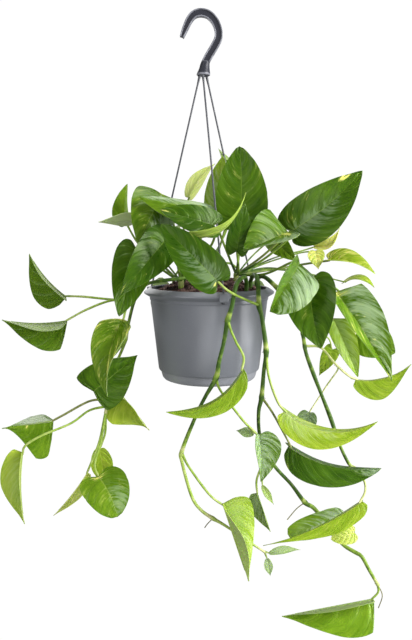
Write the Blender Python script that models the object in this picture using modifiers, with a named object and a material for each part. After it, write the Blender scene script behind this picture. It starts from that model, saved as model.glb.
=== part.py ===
"""Golden pothos in a hanging plastic pot: hook, three strands, pot, clip-in saucer, soil, vines and leaves.

The origin is the point of the hook that bears on whatever holds it up, and +Z is up. The front is -Y.
Places in the tables are in millimetres, and MM turns them into metres.
"""

import math
from dataclasses import dataclass

import bmesh
import bpy
from mathutils import Quaternion, Vector, noise
from mathutils.bvhtree import BVHTree

MM = 0.001
GAP = 0.3

# Pot
POT_X = 9.0
RIM_Z = -297.0
POT_WALL = 1.7
FLOOR_TOP_Z = -383.6
FLOOR_UNDER_Z = -385.4
SKIRT_END_Z = -391.6
DRAIN_RADIUS = 3.5
DRAIN_CIRCLE = 34.0
DRAIN_COUNT = 6
ROUND_STEPS = 30

# Eyes in the rim for the strands, as turns from the front
EYE_TURNS = {"front": 12.0, "right": 132.0, "left": -108.0}
EYE_CIRCLE = 71.6
EYE_HOLE = 1.3
EYE_BLOCK = (11.0, 8.0, 9.4)
EYE_BLOCK_Z = -302.6
STRAND_RADIUS = 0.9
BUTTON_RADIUS = 2.4

# Saucer
SAUCER_TOP_Z = -388.2
SAUCER_BASE_Z = -403.0
SAUCER_BASE_RADIUS = 50.5

# Hook
COLLAR_X = 2.6
COLLAR_TOP_Z = -49.0
COLLAR_END_Z = -62.0
COLLAR_RADIUS = 7.6
COLLAR_STEPS = 20
POCKET_RADIUS = 2.1
POCKET_DEPTH = 5.5
POCKET_CIRCLE = 4.2
SLEEVE_RADIUS = 1.75

# Soil
SOIL_RADIUS = 64.6
SOIL_EDGE_Z = -303.0
SOIL_MOUND = 17.0
SOIL_UNDER_Z = -383.2
SOIL_RINGS = 7
SOIL_STEPS = 24
CRUMB_HEIGHT = 3.5
CRUMB_FADE = 6.0
CRUMB_SCALE = 0.16
ROOT_DEPTH_Z = -318.0
STEM_HOLE_ROOM = 0.5
STEM_HOLE_HEIGHT = 60.0

# Leaf blades. Their turns are given from a viewer who stands in front of the pot.
VIEWER = (5.5, -761.4, -235.0)
BLADE_THICKNESS = 0.75
VINE_POINT_STEP = 23.0

# Petioles. Each is pushed towards its blade from a start behind it, until the two are a small gap apart.
PETIOLE_RADIUS = 1.1
PETIOLE_END_RADIUS = 0.9
PETIOLE_POINT_STEP = 28.0
PETIOLE_GAP = 0.3
PETIOLE_PUSH = 0.1
PETIOLE_MOST_PUSHES = 40
PETIOLE_BACK = 2.6
PETIOLE_UNDER = 1.7
PETIOLE_UNDER_BACK = 1.4
SHORT_BLADE = 45.0

# Where the gap is tried: how far back from the petiole's end, and how far out in parts of its radius
PETIOLE_PROBES = ((0.0, 0.0), (0.0, 0.5), (0.0, 1.0), (0.4, 1.0), (0.8, 1.0), (1.3, 1.0), (2.0, 1.0),
                  (3.0, 1.0), (4.5, 1.0), (6.5, 1.0), (9.0, 1.0))
PETIOLE_PROBE_TURNS = 8

# Half of a blade's outline: along the midrib, across in half widths, and where its vein leaves the midrib
BLADE_EDGE = (
    (0.00, 0.00, 0.00),
    (-0.06, 0.20, 0.00),
    (-0.13, 0.48, 0.01),
    (-0.09, 0.80, 0.03),
    (0.07, 0.99, 0.08),
    (0.30, 0.97, 0.22),
    (0.52, 0.76, 0.42),
    (0.72, 0.47, 0.62),
    (0.88, 0.18, 0.81),
    (1.00, 0.00, 1.00),
)

DARK = (0.045, 0.130, 0.014)
MID = (0.085, 0.230, 0.022)
YOUNG = (0.250, 0.430, 0.045)
PALE = (0.400, 0.520, 0.120)


@dataclass
class Leaf:
    """A blade from its joint to its tip.

    turn is how far the upper face turns from the viewer towards the left of the blade's travel, in
    degrees, and fold how far each half rises from flat. arch and sway bow the midrib towards the viewer and
    to the viewer's left of its travel, as parts of the length. cup bends the margins down. full widens the
    outline near the tip, rake sweeps the halves forward, lobe scales the lobes behind the joint, and twist
    turns the blade more from joint to tip.
    """

    stem: str
    joint: tuple
    tip: tuple
    half_width: float
    turn: float = 0.0
    fold: float = 8.0
    arch: float = 0.05
    sway: float = 0.0
    cup: float = 0.05
    full: float = 0.0
    rake: float = 0.0
    lobe: float = 1.0
    twist: float = 0.0
    colour: tuple = MID
    fused: bool = False
    petiole: tuple = ()


LEAVES = {
    "leaf_left_crown_1": Leaf("crown_left", (-87, 14, -225), (-85, 12, -179), 14, -36, -36, 0.0, 0.06,
                              full=0.4, rake=0.1,
                              petiole=((-22, -36, -290), (-45, -12, -270), (-72, 8, -248))),
    "leaf_left_crown_2": Leaf("crown_left", (-78, -8, -221), (-114, -20, -223), 14, -120, 10, 0.06,
                              petiole=((-22, -36, -288), (-42, -20, -265), (-66, -8, -240))),
    "leaf_left_crown_3": Leaf("crown_left", (-44, -10, -192), (-68, -48, -246), 29, 0, -8, 0.12, cup=0.12,
                              full=0.3, lobe=0.5, colour=YOUNG,
                              petiole=((-22, -36, -286), (-26, -6, -250), (-36, 2, -210))),
    "leaf_left_crown_4": Leaf("crown_left", (7, -24, -212), (-66, -42, -197), 22, -45, -20, 0.05,
                              full=0.3, petiole=((-22, -36, -288), (-8, -20, -255), (6, -16, -228))),
    "leaf_left_crown_5": Leaf("crown_left", (14, -58, -227), (-42, -66, -211), 18, -30, 10, 0.08, 0.0,
                              full=0.4, colour=YOUNG,
                              petiole=((-22, -36, -290), (-2, -34, -268), (14, -44, -242))),
    "leaf_left_crown_6": Leaf("crown_left", (-18, -88, -237), (46, -80, -194), 10, 110, 10, 0.0, -0.22,
                              rake=0.15, colour=YOUNG,
                              petiole=((-22, -36, -289), (-18, -50, -272), (-15, -74, -252))),
    "leaf_left_crown_7": Leaf("crown_left", (-68, -46, -254), (-85, -80, -321), 23, 0, 10, 0.06,
                              full=0.4, colour=DARK,
                              petiole=((-22, -36, -289), (-42, -38, -275), (-62, -38, -261))),
    "leaf_left_crown_8": Leaf("crown_left", (-36, -66, -241), (-81, -96, -297), 21, 0, 12, 0.10,
                              full=0.2, petiole=((-22, -36, -291), (-26, -46, -266), (-32, -56, -248))),
    "leaf_left_crown_9": Leaf("vine_middle", (17, -98, -283), (-40, -90, -226), 21, 0, 12, 0.06,
                              full=0.5, rake=0.08, colour=DARK,
                              petiole=((62, -66, -311), (46, -84, -303), (28, -96, -293))),
    "leaf_top_1": Leaf("crown_left", (-15, 22, -194), (16, 14, -156), 10, 150, 10, 0.05, 0.08,
                       rake=0.2, colour=PALE, petiole=((-22, -36, -287), (-20, -2, -250), (-20, 20, -212))),
    "leaf_top_2": Leaf("crown_right", (21, 4, -218), (25, 8, -148), 17, 5, 8, 0.04, 0.04,
                       full=0.4, petiole=((40, -14, -282), (29, 0, -255), (20, 6, -230))),
    "leaf_top_3": Leaf("crown_right", (44, -14, -223), (43, -4, -139), 30, 0, 10, 0.05, -0.02,
                       full=0.65, rake=0.05, colour=DARK,
                       petiole=((40, -14, -282), (43, -12, -255), (44, -10, -235))),
    "leaf_top_4": Leaf("crown_right", (38, -56, -254), (47, -50, -204), 13, 0, 5, 0.05, 0.0,
                       full=0.3, rake=0.05, colour=DARK,
                       petiole=((40, -14, -282), (41, -34, -278), (40, -50, -266))),
    "leaf_right_crown_1": Leaf("crown_right", (94, -38, -234), (45, -68, -254), 32, -42, 36, 0.08, 0.0,
                               full=0.5, rake=0.15, lobe=0.0,
                               petiole=((40, -14, -282), (70, -22, -264), (96, -32, -241))),
    "leaf_right_crown_2": Leaf("crown_right", (100, -22, -233), (173, -40, -169), 29, -5, 12, 0.06, -0.04,
                               full=0.35, rake=0.12, colour=DARK,
                               petiole=((40, -14, -282), (68, -12, -262), (92, -16, -240))),
    "leaf_right_crown_3": Leaf("crown_right", (82, 6, -242), (110, -4, -268), 12, 0, 8, 0.05,
                               colour=DARK, petiole=((40, -14, -282), (56, 0, -264), (74, 8, -248))),
    "leaf_right_crown_4": Leaf("crown_right", (104, -62, -267), (71, -90, -315), 33, 40, 38, 0.08, 0.0,
                               full=1.4, rake=0.16, lobe=0.2,
                               petiole=((40, -14, -282), (70, -32, -280), (98, -52, -266))),
    "leaf_right_crown_5": Leaf("vine_right", (118, -46, -285), (129, -62, -358), 28, 0, 12, 0.05, -0.04,
                               full=0.4, rake=0.08, colour=DARK,
                               petiole=((84, -42, -295), (102, -32, -288))),
    "leaf_right_crown_6": Leaf("crown_right", (134, 18, -256), (137, 12, -277), 10, 10, 8, 0.05,
                               rake=0.1, colour=PALE,
                               petiole=((40, -14, -282), (80, 8, -268), (118, 22, -258))),
    "leaf_right_crown_7": Leaf("crown_right", (136, 30, -251), (162, 20, -229), 8, 30, 30, 0.15, -0.22,
                               rake=0.1, colour=PALE,
                               petiole=((40, -14, -282), (85, 14, -264), (120, 30, -256))),
    "leaf_right_crown_8": Leaf("crown_right", (149, 14, -266), (201, 2, -282), 14, 42, 45, 0.05, 0.10,
                               full=0.3, rake=0.1, colour=YOUNG,
                               petiole=((40, -14, -282), (92, 12, -276), (128, 28, -271))),
    "leaf_right_crown_9": Leaf("crown_right", (168, 8, -291), (198, -8, -297), 9, 65, 10, 0.0, 0.22,
                               full=0.3, rake=0.1, colour=YOUNG,
                               petiole=((40, -14, -282), (84, 6, -277), (134, 8, -284))),
    "leaf_right_crown_10": Leaf("vine_right", (152, -20, -301), (210, -50, -396), 32, 40, 38, 0.0, 0.02,
                                rake=0.06, lobe=0.0, full=0.2,
                                petiole=((84, -42, -295), (108, -24, -286), (138, -18, -294))),
    "leaf_right_crown_11": Leaf("crown_right", (188, 20, -352), (231, 14, -377), 24, 0, 8, 0.05, 0.0,
                                full=0.5, rake=0.05, lobe=0.5,
                                petiole=((40, -14, -282), (80, 14, -276), (130, 20, -286), (170, 30, -309))),
    "leaf_right_crown_12": Leaf("vine_right", (154, 4, -334), (182, -10, -401), 17, 24, 26, 0.05, 0.01,
                                full=0.3, rake=0.1, lobe=0.0, colour=YOUNG,
                                petiole=((113, -37, -346), (124, -16, -334), (142, 2, -330))),
    "leaf_right_crown_13": Leaf("vine_right", (180, -8, -404), (242, -14, -385), 22, 45, -42, 0.0, -0.12,
                                rake=0.10, full=-0.1, colour=YOUNG,
                                petiole=((117, -35, -360), (134, -36, -362), (154, -22, -384),
                                         (171, -12, -399))),
    "small_leaf_right_1": Leaf("vine_right", (158, 22, -374), (142, 20, -406), 10, 0, 10, 0.05,
                               fused=True, petiole=((113, -37, -346), (132, 0, -352), (152, 20, -360))),
    "small_leaf_right_2": Leaf("vine_right", (126, -10, -443), (118, -10, -473), 12, 0, 10, 0.05,
                               rake=0.15, fused=True, petiole=((154, -22, -384), (157, -16, -391),
                                                               (146, -8, -412))),
    "leaf_left_vine_1": Leaf("vine_left", (-154, -14, -308), (-191, -24, -258), 25, 48, 50, 0.0, 0.06,
                             full=0.1, rake=0.04, lobe=0.4,
                             petiole=((-78, -15, -311), (-104, -12, -310), (-134, -12, -307))),
    "leaf_left_vine_2": Leaf("vine_left", (-149, -34, -333), (-217, -48, -329), 32, 50, 54, 0.0, 0.05,
                             full=-0.1, rake=0.10, lobe=0.1,
                             petiole=((-78, -15, -311), (-102, -16, -311), (-128, -25, -320))),
    "leaf_left_vine_3": Leaf("vine_left", (-85, -49, -328), (-101, -66, -410), 24, -40, 36, 0.06, -0.08,
                             full=0.2, rake=0.1, lobe=0.2, twist=-40, colour=YOUNG,
                             petiole=((-68, -22, -298), (-76, -32, -306), (-82, -41, -317))),
    "leaf_left_vine_4": Leaf("vine_left", (-120, -42, -410), (-71, -37, -370), 29, -16, 15, 0.06,
                             rake=-0.03, lobe=0.3, colour=DARK,
                             petiole=((-86, -18, -355), (-96, -22, -369), (-112, -28, -388))),
    "leaf_left_vine_5": Leaf("vine_left", (-94, -12, -422), (-61, -12, -464), 29, -45, 45, 0.05, 0.0,
                             full=-0.4, rake=0.12, lobe=0.3, colour=YOUNG,
                             petiole=((-104, -25, -407), (-99, -17, -413))),
    "leaf_left_vine_6": Leaf("vine_left", (-171, -20, -450), (-225, -38, -454), 40, -36, -38, 0.0, 0.0,
                             full=-0.45, rake=0.20, lobe=0.2,
                             petiole=((-107, -25, -424), (-128, -24, -426), (-159, -22, -443))),
    "leaf_left_vine_7": Leaf("vine_left", (-200, -50, -478), (-199, -54, -560), 22, -48, 46, 0.0, -0.04,
                             rake=0.15, colour=YOUNG,
                             petiole=((-109, -24, -432), (-128, -28, -436), (-147, -38, -448),
                                      (-177, -52, -458), (-195, -54, -469))),
    "leaf_left_vine_8": Leaf("vine_left", (-120, -10, -487), (-114, -8, -536), 13, 0, 10, 0.05, 0.0,
                             rake=0.25, colour=YOUNG, petiole=((-110, -24, -440), (-112, -16, -466))),
    "leaf_left_vine_9": Leaf("vine_left", (-115, -50, -506), (-93, -62, -548), 26, 0, 6, 0.12, 0.05,
                             full=1.2, rake=0.05, colour=YOUNG,
                             petiole=((-110, -24, -440), (-114, -34, -470), (-120, -44, -494))),
    "leaf_left_vine_10": Leaf("vine_left", (-131, -28, -510), (-172, -30, -561), 10, 45, 45, 0.0, 0.03,
                              rake=0.25, colour=YOUNG,
                              petiole=((-110, -24, -440), (-117, -28, -472), (-127, -29, -498))),
    "leaf_front_vine_1": Leaf("vine_front", (44, -99, -373), (-35, -110, -415), 15, -36, -40, 0.0, 0.17,
                              twist=20, full=0.4, rake=0.08, lobe=0.3, colour=YOUNG,
                              petiole=((28, -87, -324), (31, -92, -334), (37, -95, -347), (44, -97, -361))),
    "leaf_front_vine_2": Leaf("vine_front", (62, -80, -448), (64, -86, -498), 22, 40, 40, 0.0, 0.03,
                              full=0.3, rake=0.12,
                              petiole=((16, -86, -385), (21, -86, -399), (44, -82, -431), (55, -79, -443))),
    "leaf_front_vine_3": Leaf("vine_front", (25, -72, -528), (52, -86, -611), 31, 68, 46, 0.0, 0.0,
                              twist=50, full=0.0, rake=0.05, lobe=0.4, colour=YOUNG,
                              petiole=((-20, -82, -468), (-13, -79, -484), (9, -74, -517))),
    "small_leaf_front_1": Leaf("vine_front", (57, -76, -448), (38, -72, -446), 5.5, 0, 10, 0.05, 0.0,
                               rake=0.3, fused=True, petiole=((52, -80, -440),)),
    "small_leaf_front_2": Leaf("vine_front", (76, -64, -590), (111, -64, -586), 4.5, 0, 10, 0.05, 0.06,
                               rake=0.3, fused=True, petiole=((71, -62, -589),)),
    "small_leaf_front_3": Leaf("vine_front", (74, -62, -597), (78, -62, -618), 5, 0, 10, 0.05, 0.0,
                               rake=0.3, fused=True, petiole=((71, -62, -589),)),
    "leaf_middle_vine_1": Leaf("vine_middle", (90, -66, -427), (189, -76, -435), 21, 42, -32, 0.0, -0.17,
                               lobe=0.5, full=0.2, colour=YOUNG,
                               petiole=((70, -64, -361), (73, -66, -388), (83, -66, -416))),
    "leaf_middle_vine_2": Leaf("vine_middle", (99, -40, -474), (203, -46, -498), 26, 42, -38, 0.0, -0.10,
                               full=0.6, rake=0.10, lobe=0.6, colour=DARK,
                               petiole=((66, -60, -412), (78, -54, -430), (92, -44, -456))),
    "leaf_middle_vine_3": Leaf("vine_middle", (63, -42, -529), (79, -46, -573), 14, -45, 45, 0.0, 0.0,
                               rake=0.2, petiole=((69, -57, -472), (68, -46, -494), (63, -41, -514))),
    "small_leaf_middle_1": Leaf("vine_middle", (69, -46, -518), (82, -50, -539), 4, 0, 10, 0.05, 0.0,
                                rake=0.3, fused=True, petiole=((68, -45, -500),)),
    "leaf_middle_vine_4": Leaf("vine_middle", (169, -21, -568), (102, -21, -588), 16, 22, 0, 0.0, 0.0,
                               full=2.6, rake=0.10, lobe=0.5,
                               petiole=((142, -12, -571), (156, -12, -570))),
    "small_leaf_middle_2": Leaf("vine_middle", (179, -30, -582), (151, -32, -589), 11, 0, 8, 0.05, 0.0,
                                full=0.8, rake=0.1, fused=True,
                                petiole=((159, -13, -592), (170, -18, -585))),
    "leaf_middle_vine_5": Leaf("vine_middle", (204, -30, -666), (94, -44, -678), 36, 48, 50, 0.0, 0.0,
                               rake=0.10, lobe=0.1, colour=YOUNG, petiole=((208, -30, -646), (209, -30, -656))),
    "leaf_right_vine_1": Leaf("vine_right", (185, -36, -541), (70, -56, -585), 15, -45, -40, 0.0, 0.05,
                              full=-0.35, rake=0.05, lobe=0.4, colour=YOUNG,
                              petiole=((178, -25, -505), (188, -28, -518), (189, -33, -530))),
    "small_leaf_back_1": Leaf("crown_back", (46, 40, -172), (20, 38, -136), 9, 150, 10, 0.05,
                              fused=True, petiole=((4, 28, -279), (28, 52, -238), (42, 48, -196))),
    "small_leaf_back_2": Leaf("crown_back", (20, 88, -302), (12, 98, -372), 27, 180, 10, 0.10,
                              fused=True, petiole=((4, 28, -279), (8, 50, -272), (16, 74, -284))),
    "small_leaf_back_3": Leaf("crown_back", (58, 76, -304), (64, 86, -372), 24, 170, 10, 0.10,
                              fused=True, petiole=((4, 28, -279), (34, 56, -272), (52, 70, -289))),
    "small_leaf_back_4": Leaf("crown_back", (-38, 74, -302), (-44, 86, -376), 26, 190, 10, 0.10,
                              fused=True, petiole=((4, 28, -279), (-18, 54, -272), (-33, 68, -288))),
    "small_leaf_back_5": Leaf("crown_back", (-34, 40, -240), (-66, 72, -262), 22, 120, 8, 0.10,
                              fused=True, petiole=((4, 28, -279), (-12, 32, -262))),
    "small_leaf_back_6": Leaf("crown_back", (34, 38, -212), (42, 62, -162), 19, 180, 8, 0.08,
                              fused=True, petiole=((4, 28, -279), (18, 36, -262), (28, 40, -232))),
}

# Routes of the stems, from inside the soil to their ends, as (x, y, z, radius)
STEMS = {
    "vine_left": ((-6, -42, -318, 2.1), (-6, -42, -293, 2.1), (-6, -42, -287, 2.1), (-14, -50, -283, 2.0),
                  (-28, -56, -284, 2.0), (-43, -53, -286, 2.0), (-58, -38, -290, 1.9),
                  (-68, -22, -298, 1.9), (-75, -15, -308, 1.9),
                  (-82, -17, -334, 1.8), (-86, -18, -355, 1.9), (-91, -20, -369, 1.6),
                  (-96, -22, -381, 1.6), (-104, -25, -407, 1.5), (-110, -24, -440, 1.5)),
    "vine_front": ((50, -38, -318, 2.4), (50, -38, -296, 2.4), (50, -38, -290, 2.4), (48, -48, -283, 2.4),
                   (44, -62, -282, 2.5),
                   (38, -77, -286, 2.5), (35, -86, -294, 2.4), (32, -88, -310, 2.3), (28, -87, -324, 2.7),
                   (24, -87, -347, 2.1), (19, -87, -368, 2.2), (16, -86, -385, 2.6), (5, -85, -405, 2.0),
                   (-5, -84, -426, 1.9), (-20, -82, -465, 2.2), (-20, -81, -479, 1.8),
                   (-10, -77, -518, 1.8), (0, -76, -534, 1.7), (13, -75, -544, 2.0), (27, -72, -554, 1.5),
                   (57, -66, -578, 1.3), (72, -62, -590, 1.2)),
    "vine_middle": ((56, -18, -318, 2.4), (56, -18, -294, 2.4), (56, -18, -288, 2.4), (58, -34, -281, 2.4),
                    (60, -50, -282, 2.5),
                    (61, -62, -291, 2.5), (61, -66, -300, 2.5), (62, -66, -313, 2.8), (65, -67, -325, 2.3),
                    (70, -64, -361, 2.7), (68, -62, -382, 2.2), (66, -60, -412, 2.5), (63, -60, -428, 2.1),
                    (64, -58, -452, 2.0), (70, -57, -473, 2.0), (84, -50, -496, 2.0), (103, -38, -520, 2.0),
                    (121, -25, -547, 2.6), (133, -15, -558, 2.5), (150, -12, -579, 2.2), (168, -14, -603, 2.2),
                    (182, -22, -610, 2.4), (189, -27, -613, 2.2), (198, -30, -629, 2.0),
                    (209, -30, -648, 1.8)),
    "vine_right": ((64, -2, -318, 2.3), (64, -2, -295, 2.3), (64, -2, -290, 2.3), (67, -14, -284, 2.3),
                   (73, -28, -285, 2.4),
                   (84, -42, -295, 2.5), (95, -43, -303, 2.4), (107, -40, -321, 2.2),
                   (113, -37, -346, 2.1), (117, -35, -367, 2.1), (126, -32, -391, 2.4),
                   (137, -30, -418, 2.0), (148, -28, -445, 2.5), (160, -26, -478, 1.9),
                   (171, -25, -500, 2.0), (178, -25, -506, 2.3)),
    "crown_left": ((-22, -36, -318, 3.2), (-22, -36, -302, 3.2), (-22, -36, -286, 2.4)),
    "crown_right": ((40, -14, -318, 3.8), (40, -14, -302, 3.8), (40, -14, -280, 2.8)),
    "crown_back": ((4, 28, -318, 3.4), (4, 28, -302, 3.4), (4, 28, -277, 2.6)),
}

# Aerial roots and the tendril, as the stem that they grow from and their route
ROOTLETS = (
    ("vine_front", ((13, -75, -544), (7, -76, -550), (4, -77, -554))),
    ("vine_middle", ((121, -25, -547), (111, -27, -554), (100, -30, -566))),
    ("vine_middle", ((208, -30, -646), (214, -30, -660), (210, -30, -676))),
)
ROOTLET_RADIUS = 0.6

# Middle line of the hook's arm and its half width there
HOOK_LINE = (
    (-21.5, -22.0, 2.4), (-17.5, -9.5, 3.5), (-10.5, 0.2, 3.9), (-1.0, 4.2, 4.2), (8.0, 2.4, 4.3),
    (15.0, -4.5, 4.4), (19.2, -14.0, 4.4), (18.6, -24.0, 4.4), (13.4, -34.0, 4.3), (7.4, -43.0, 4.3),
    (3.0, -52.0, 4.6),
)
HOOK_HALF_DEPTH = 3.2
HOOK_GROOVE = 1.3
HOOK_RIB = 1.3


def clear_scene():
    for thing in list(bpy.data.objects):
        bpy.data.objects.remove(thing)


def new_collection(name):
    group = bpy.data.collections.new(name)
    bpy.context.scene.collection.children.link(group)
    return group


def new_material(name, colour, roughness):
    material = bpy.data.materials.new(name)
    material.use_nodes = True
    shader = material.node_tree.nodes["Principled BSDF"]
    shader.inputs["Base Color"].default_value = (*colour, 1.0)
    shader.inputs["Roughness"].default_value = roughness
    shader.inputs["Metallic"].default_value = 0.0
    return material


def place(x, y, z):
    return Vector((x, y, z)) * MM


def new_object(name, data, group, material=None):
    thing = bpy.data.objects.new(name, data)
    group.objects.link(thing)
    if material:
        thing.data.materials.append(material)
    return thing


def as_helper(thing):
    thing.hide_render = True
    thing.display_type = "WIRE"
    return thing


def evaluated_mesh(thing):
    bpy.context.view_layer.update()
    graph = bpy.context.evaluated_depsgraph_get()
    mesh = bpy.data.meshes.new_from_object(thing.evaluated_get(graph))
    mesh.transform(thing.matrix_world)
    return mesh


def weld(mesh):
    shape = bmesh.new()
    shape.from_mesh(mesh)
    bmesh.ops.remove_doubles(shape, verts=shape.verts, dist=0.00001)
    shape.to_mesh(mesh)
    shape.free()


def turned(name, profile, steps, group, material=None):
    """A profile of (radius, height) turned round the pot's axis. It runs down its outer side."""
    mesh = bpy.data.meshes.new(name)
    points = [place(radius, 0, height) for radius, height in profile]
    mesh.from_pydata(points, [(i, i + 1) for i in range(len(points) - 1)], [])
    thing = new_object(name, mesh, group, material)
    screw = thing.modifiers.new("Turn", "SCREW")
    screw.steps = steps
    screw.render_steps = steps
    screw.use_merge_vertices = True
    screw.merge_threshold = 0.00001
    screw.use_smooth_shade = True
    thing.location = place(POT_X, 0, 0)
    return thing


def make_mesh(thing):
    """Turns an object with modifiers, or a curve, into plain mesh data at the origin."""
    mesh = evaluated_mesh(thing)
    weld(mesh)
    name = thing.name
    groups = list(thing.users_collection)
    bpy.data.objects.remove(thing)
    made = bpy.data.objects.new(name, mesh)
    for group in groups:
        group.objects.link(made)
    return made


def cylinder(name, centre, radius, height, sides, group):
    shape = bmesh.new()
    bmesh.ops.create_cone(shape, cap_ends=True, segments=sides, radius1=radius * MM, radius2=radius * MM,
                          depth=height * MM)
    mesh = bpy.data.meshes.new(name)
    shape.to_mesh(mesh)
    shape.free()
    thing = new_object(name, mesh, group)
    thing.location = place(*centre)
    return thing


def smooth_route(points, step):
    """Points about a step apart on a smooth curve through the given ones. Extra values follow along."""
    values = [Vector(point) for point in points]
    values = [2 * values[0] - values[1], *values, 2 * values[-1] - values[-2]]
    route = []
    for a, b, c, d in zip(values, values[1:], values[2:], values[3:]):
        length = math.dist(b[:3], c[:3])
        count = max(1, round(length / step))
        for i in range(count):
            t = i / count
            route.append(0.5 * (2 * b + (c - a) * t + (2 * a - 5 * b + 4 * c - d) * t * t
                                + (3 * b - a - 3 * c + d) * t ** 3))
    route.append(values[-2])
    return route


def tube(name, points, resolution, group):
    """A round stem through points of (x, y, z, radius), in millimetres."""
    curve = bpy.data.curves.new(name, "CURVE")
    curve.dimensions = "3D"
    curve.bevel_depth = MM
    curve.bevel_resolution = resolution
    curve.use_fill_caps = True
    spline = curve.splines.new("POLY")
    spline.points.add(len(points) - 1)
    for target, point in zip(spline.points, points):
        target.co = (*place(*point[:3]), 1.0)
        target.radius = point[3]
    return new_object(name, curve, group)


def union_all(name, pieces, target_group, material):
    """Joins closed meshes into one body with a single Boolean on a collection of them."""
    first, rest = pieces[0], pieces[1:]
    operands = new_collection(name + "_operands")
    for piece in rest:
        for group in list(piece.users_collection):
            group.objects.unlink(piece)
        operands.objects.link(piece)
    join = first.modifiers.new("Join", "BOOLEAN")
    join.operation = "UNION"
    join.operand_type = "COLLECTION"
    join.collection = operands
    mesh = evaluated_mesh(first)
    for piece in pieces:
        bpy.data.objects.remove(piece)
    bpy.data.collections.remove(operands)
    mesh.materials.clear()
    joined = new_object(name, mesh, target_group, material)
    joined.data.shade_smooth()
    return joined


def cut(thing, cutter, name):
    subtract = thing.modifiers.new(name, "BOOLEAN")
    subtract.operation = "DIFFERENCE"
    subtract.object = cutter


def add(thing, other, name):
    join = thing.modifiers.new(name, "BOOLEAN")
    join.operation = "UNION"
    join.object = other


def eye_place(turn, radius=EYE_CIRCLE):
    """The spot on the rim at this turn from the front, as x and y."""
    angle = math.radians(turn)
    return POT_X + radius * math.sin(angle), -radius * math.cos(angle)


def make_pot(parts, cutters):
    material = new_material("pot_plastic", (0.100, 0.108, 0.115), 0.42)
    profile = (
        (0.0, FLOOR_TOP_Z), (55.6, FLOOR_TOP_Z), (56.8, FLOOR_TOP_Z + 1.2), (65.8, -310.6), (66.5, -307.0),
        (72.0, -303.4), (72.6, -302.4), (72.0, -301.5), (66.6, -298.4), (66.6, RIM_Z), (68.3, RIM_Z),
        (74.4, -301.0), (75.0, -302.2), (74.5, -303.6), (68.5, -307.2), (68.3, -310.4), (67.5, -311.4),
        (58.8, -390.2), (58.2, SKIRT_END_Z), (57.1, SKIRT_END_Z), (57.2, FLOOR_UNDER_Z),
        (0.0, FLOOR_UNDER_Z),
    )
    pot = turned("pot", profile, ROUND_STEPS, parts, material)
    for side, turn in EYE_TURNS.items():
        x, y = eye_place(turn)
        shape = bmesh.new()
        bmesh.ops.create_cube(shape, size=1.0)
        bmesh.ops.scale(shape, verts=shape.verts, vec=Vector(EYE_BLOCK) * MM)
        mesh = bpy.data.meshes.new("eye_block_" + side)
        shape.to_mesh(mesh)
        shape.free()
        block = as_helper(new_object("eye_block_" + side, mesh, cutters))
        block.location = place(x, y, EYE_BLOCK_Z)
        block.rotation_euler.z = math.radians(turn)
        add(pot, block, "Eye " + side)
        hole = as_helper(cylinder("eye_hole_" + side, (x, y, EYE_BLOCK_Z), EYE_HOLE, 30, 12, cutters))
        cut(pot, hole, "Eye hole " + side)
    for i in range(DRAIN_COUNT):
        angle = 2 * math.pi * i / DRAIN_COUNT
        centre = (POT_X + DRAIN_CIRCLE * math.cos(angle), DRAIN_CIRCLE * math.sin(angle), FLOOR_TOP_Z)
        drain = as_helper(cylinder(f"drain_{i}", centre, DRAIN_RADIUS, 12, 12, cutters))
        cut(pot, drain, f"Drain {i}")


def make_saucer(parts):
    material = new_material("saucer_plastic", (0.095, 0.103, 0.110), 0.42)
    profile = (
        (0.0, -401.3), (49.6, -401.3), (52.6, -399.4), (55.2, -391.5), (55.3, SAUCER_TOP_Z),
        (56.7, SAUCER_TOP_Z), (56.7, -391.9), (56.3, -393.0), (54.9, -398.4), (53.3, -401.7),
        (SAUCER_BASE_RADIUS, SAUCER_BASE_Z), (0.0, SAUCER_BASE_Z),
    )
    turned("saucer", profile, ROUND_STEPS, parts, material)


def make_soil(parts, cutters):
    """The root ball: a mound with a crumbly top, and a plain hole for each stem."""
    material = new_material("potting_soil", (0.030, 0.018, 0.016), 0.95)
    rings = [i / SOIL_RINGS for i in range(SOIL_RINGS + 1)]
    top = [(SOIL_RADIUS * r, SOIL_EDGE_Z + SOIL_MOUND * (1 - r * r)) for r in rings]
    profile = [*top, (SOIL_RADIUS - 0.6, -312.0), (55.2, SOIL_UNDER_Z + 2.0), (54.0, SOIL_UNDER_Z),
               (0.0, SOIL_UNDER_Z)]
    soil = make_mesh(turned("soil", profile, SOIL_STEPS, parts))
    soil.data.materials.append(material)
    for vertex in soil.data.vertices:
        spot = vertex.co / MM
        radius = math.hypot(spot.x - POT_X, spot.y)
        if spot.z < SOIL_EDGE_Z - 1:
            continue
        fade = min(1.0, (SOIL_RADIUS - radius) / CRUMB_FADE)
        vertex.co.z += CRUMB_HEIGHT * fade * noise.noise(spot * CRUMB_SCALE) * MM
    for name, route in STEMS.items():
        x, y, _, radius = route[0]
        centre = (x, y, ROOT_DEPTH_Z - GAP + STEM_HOLE_HEIGHT / 2)
        hole = as_helper(cylinder("hole_" + name, centre, radius + STEM_HOLE_ROOM, STEM_HOLE_HEIGHT, 12,
                                  cutters))
        cut(soil, hole, "Hole " + name)


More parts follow.
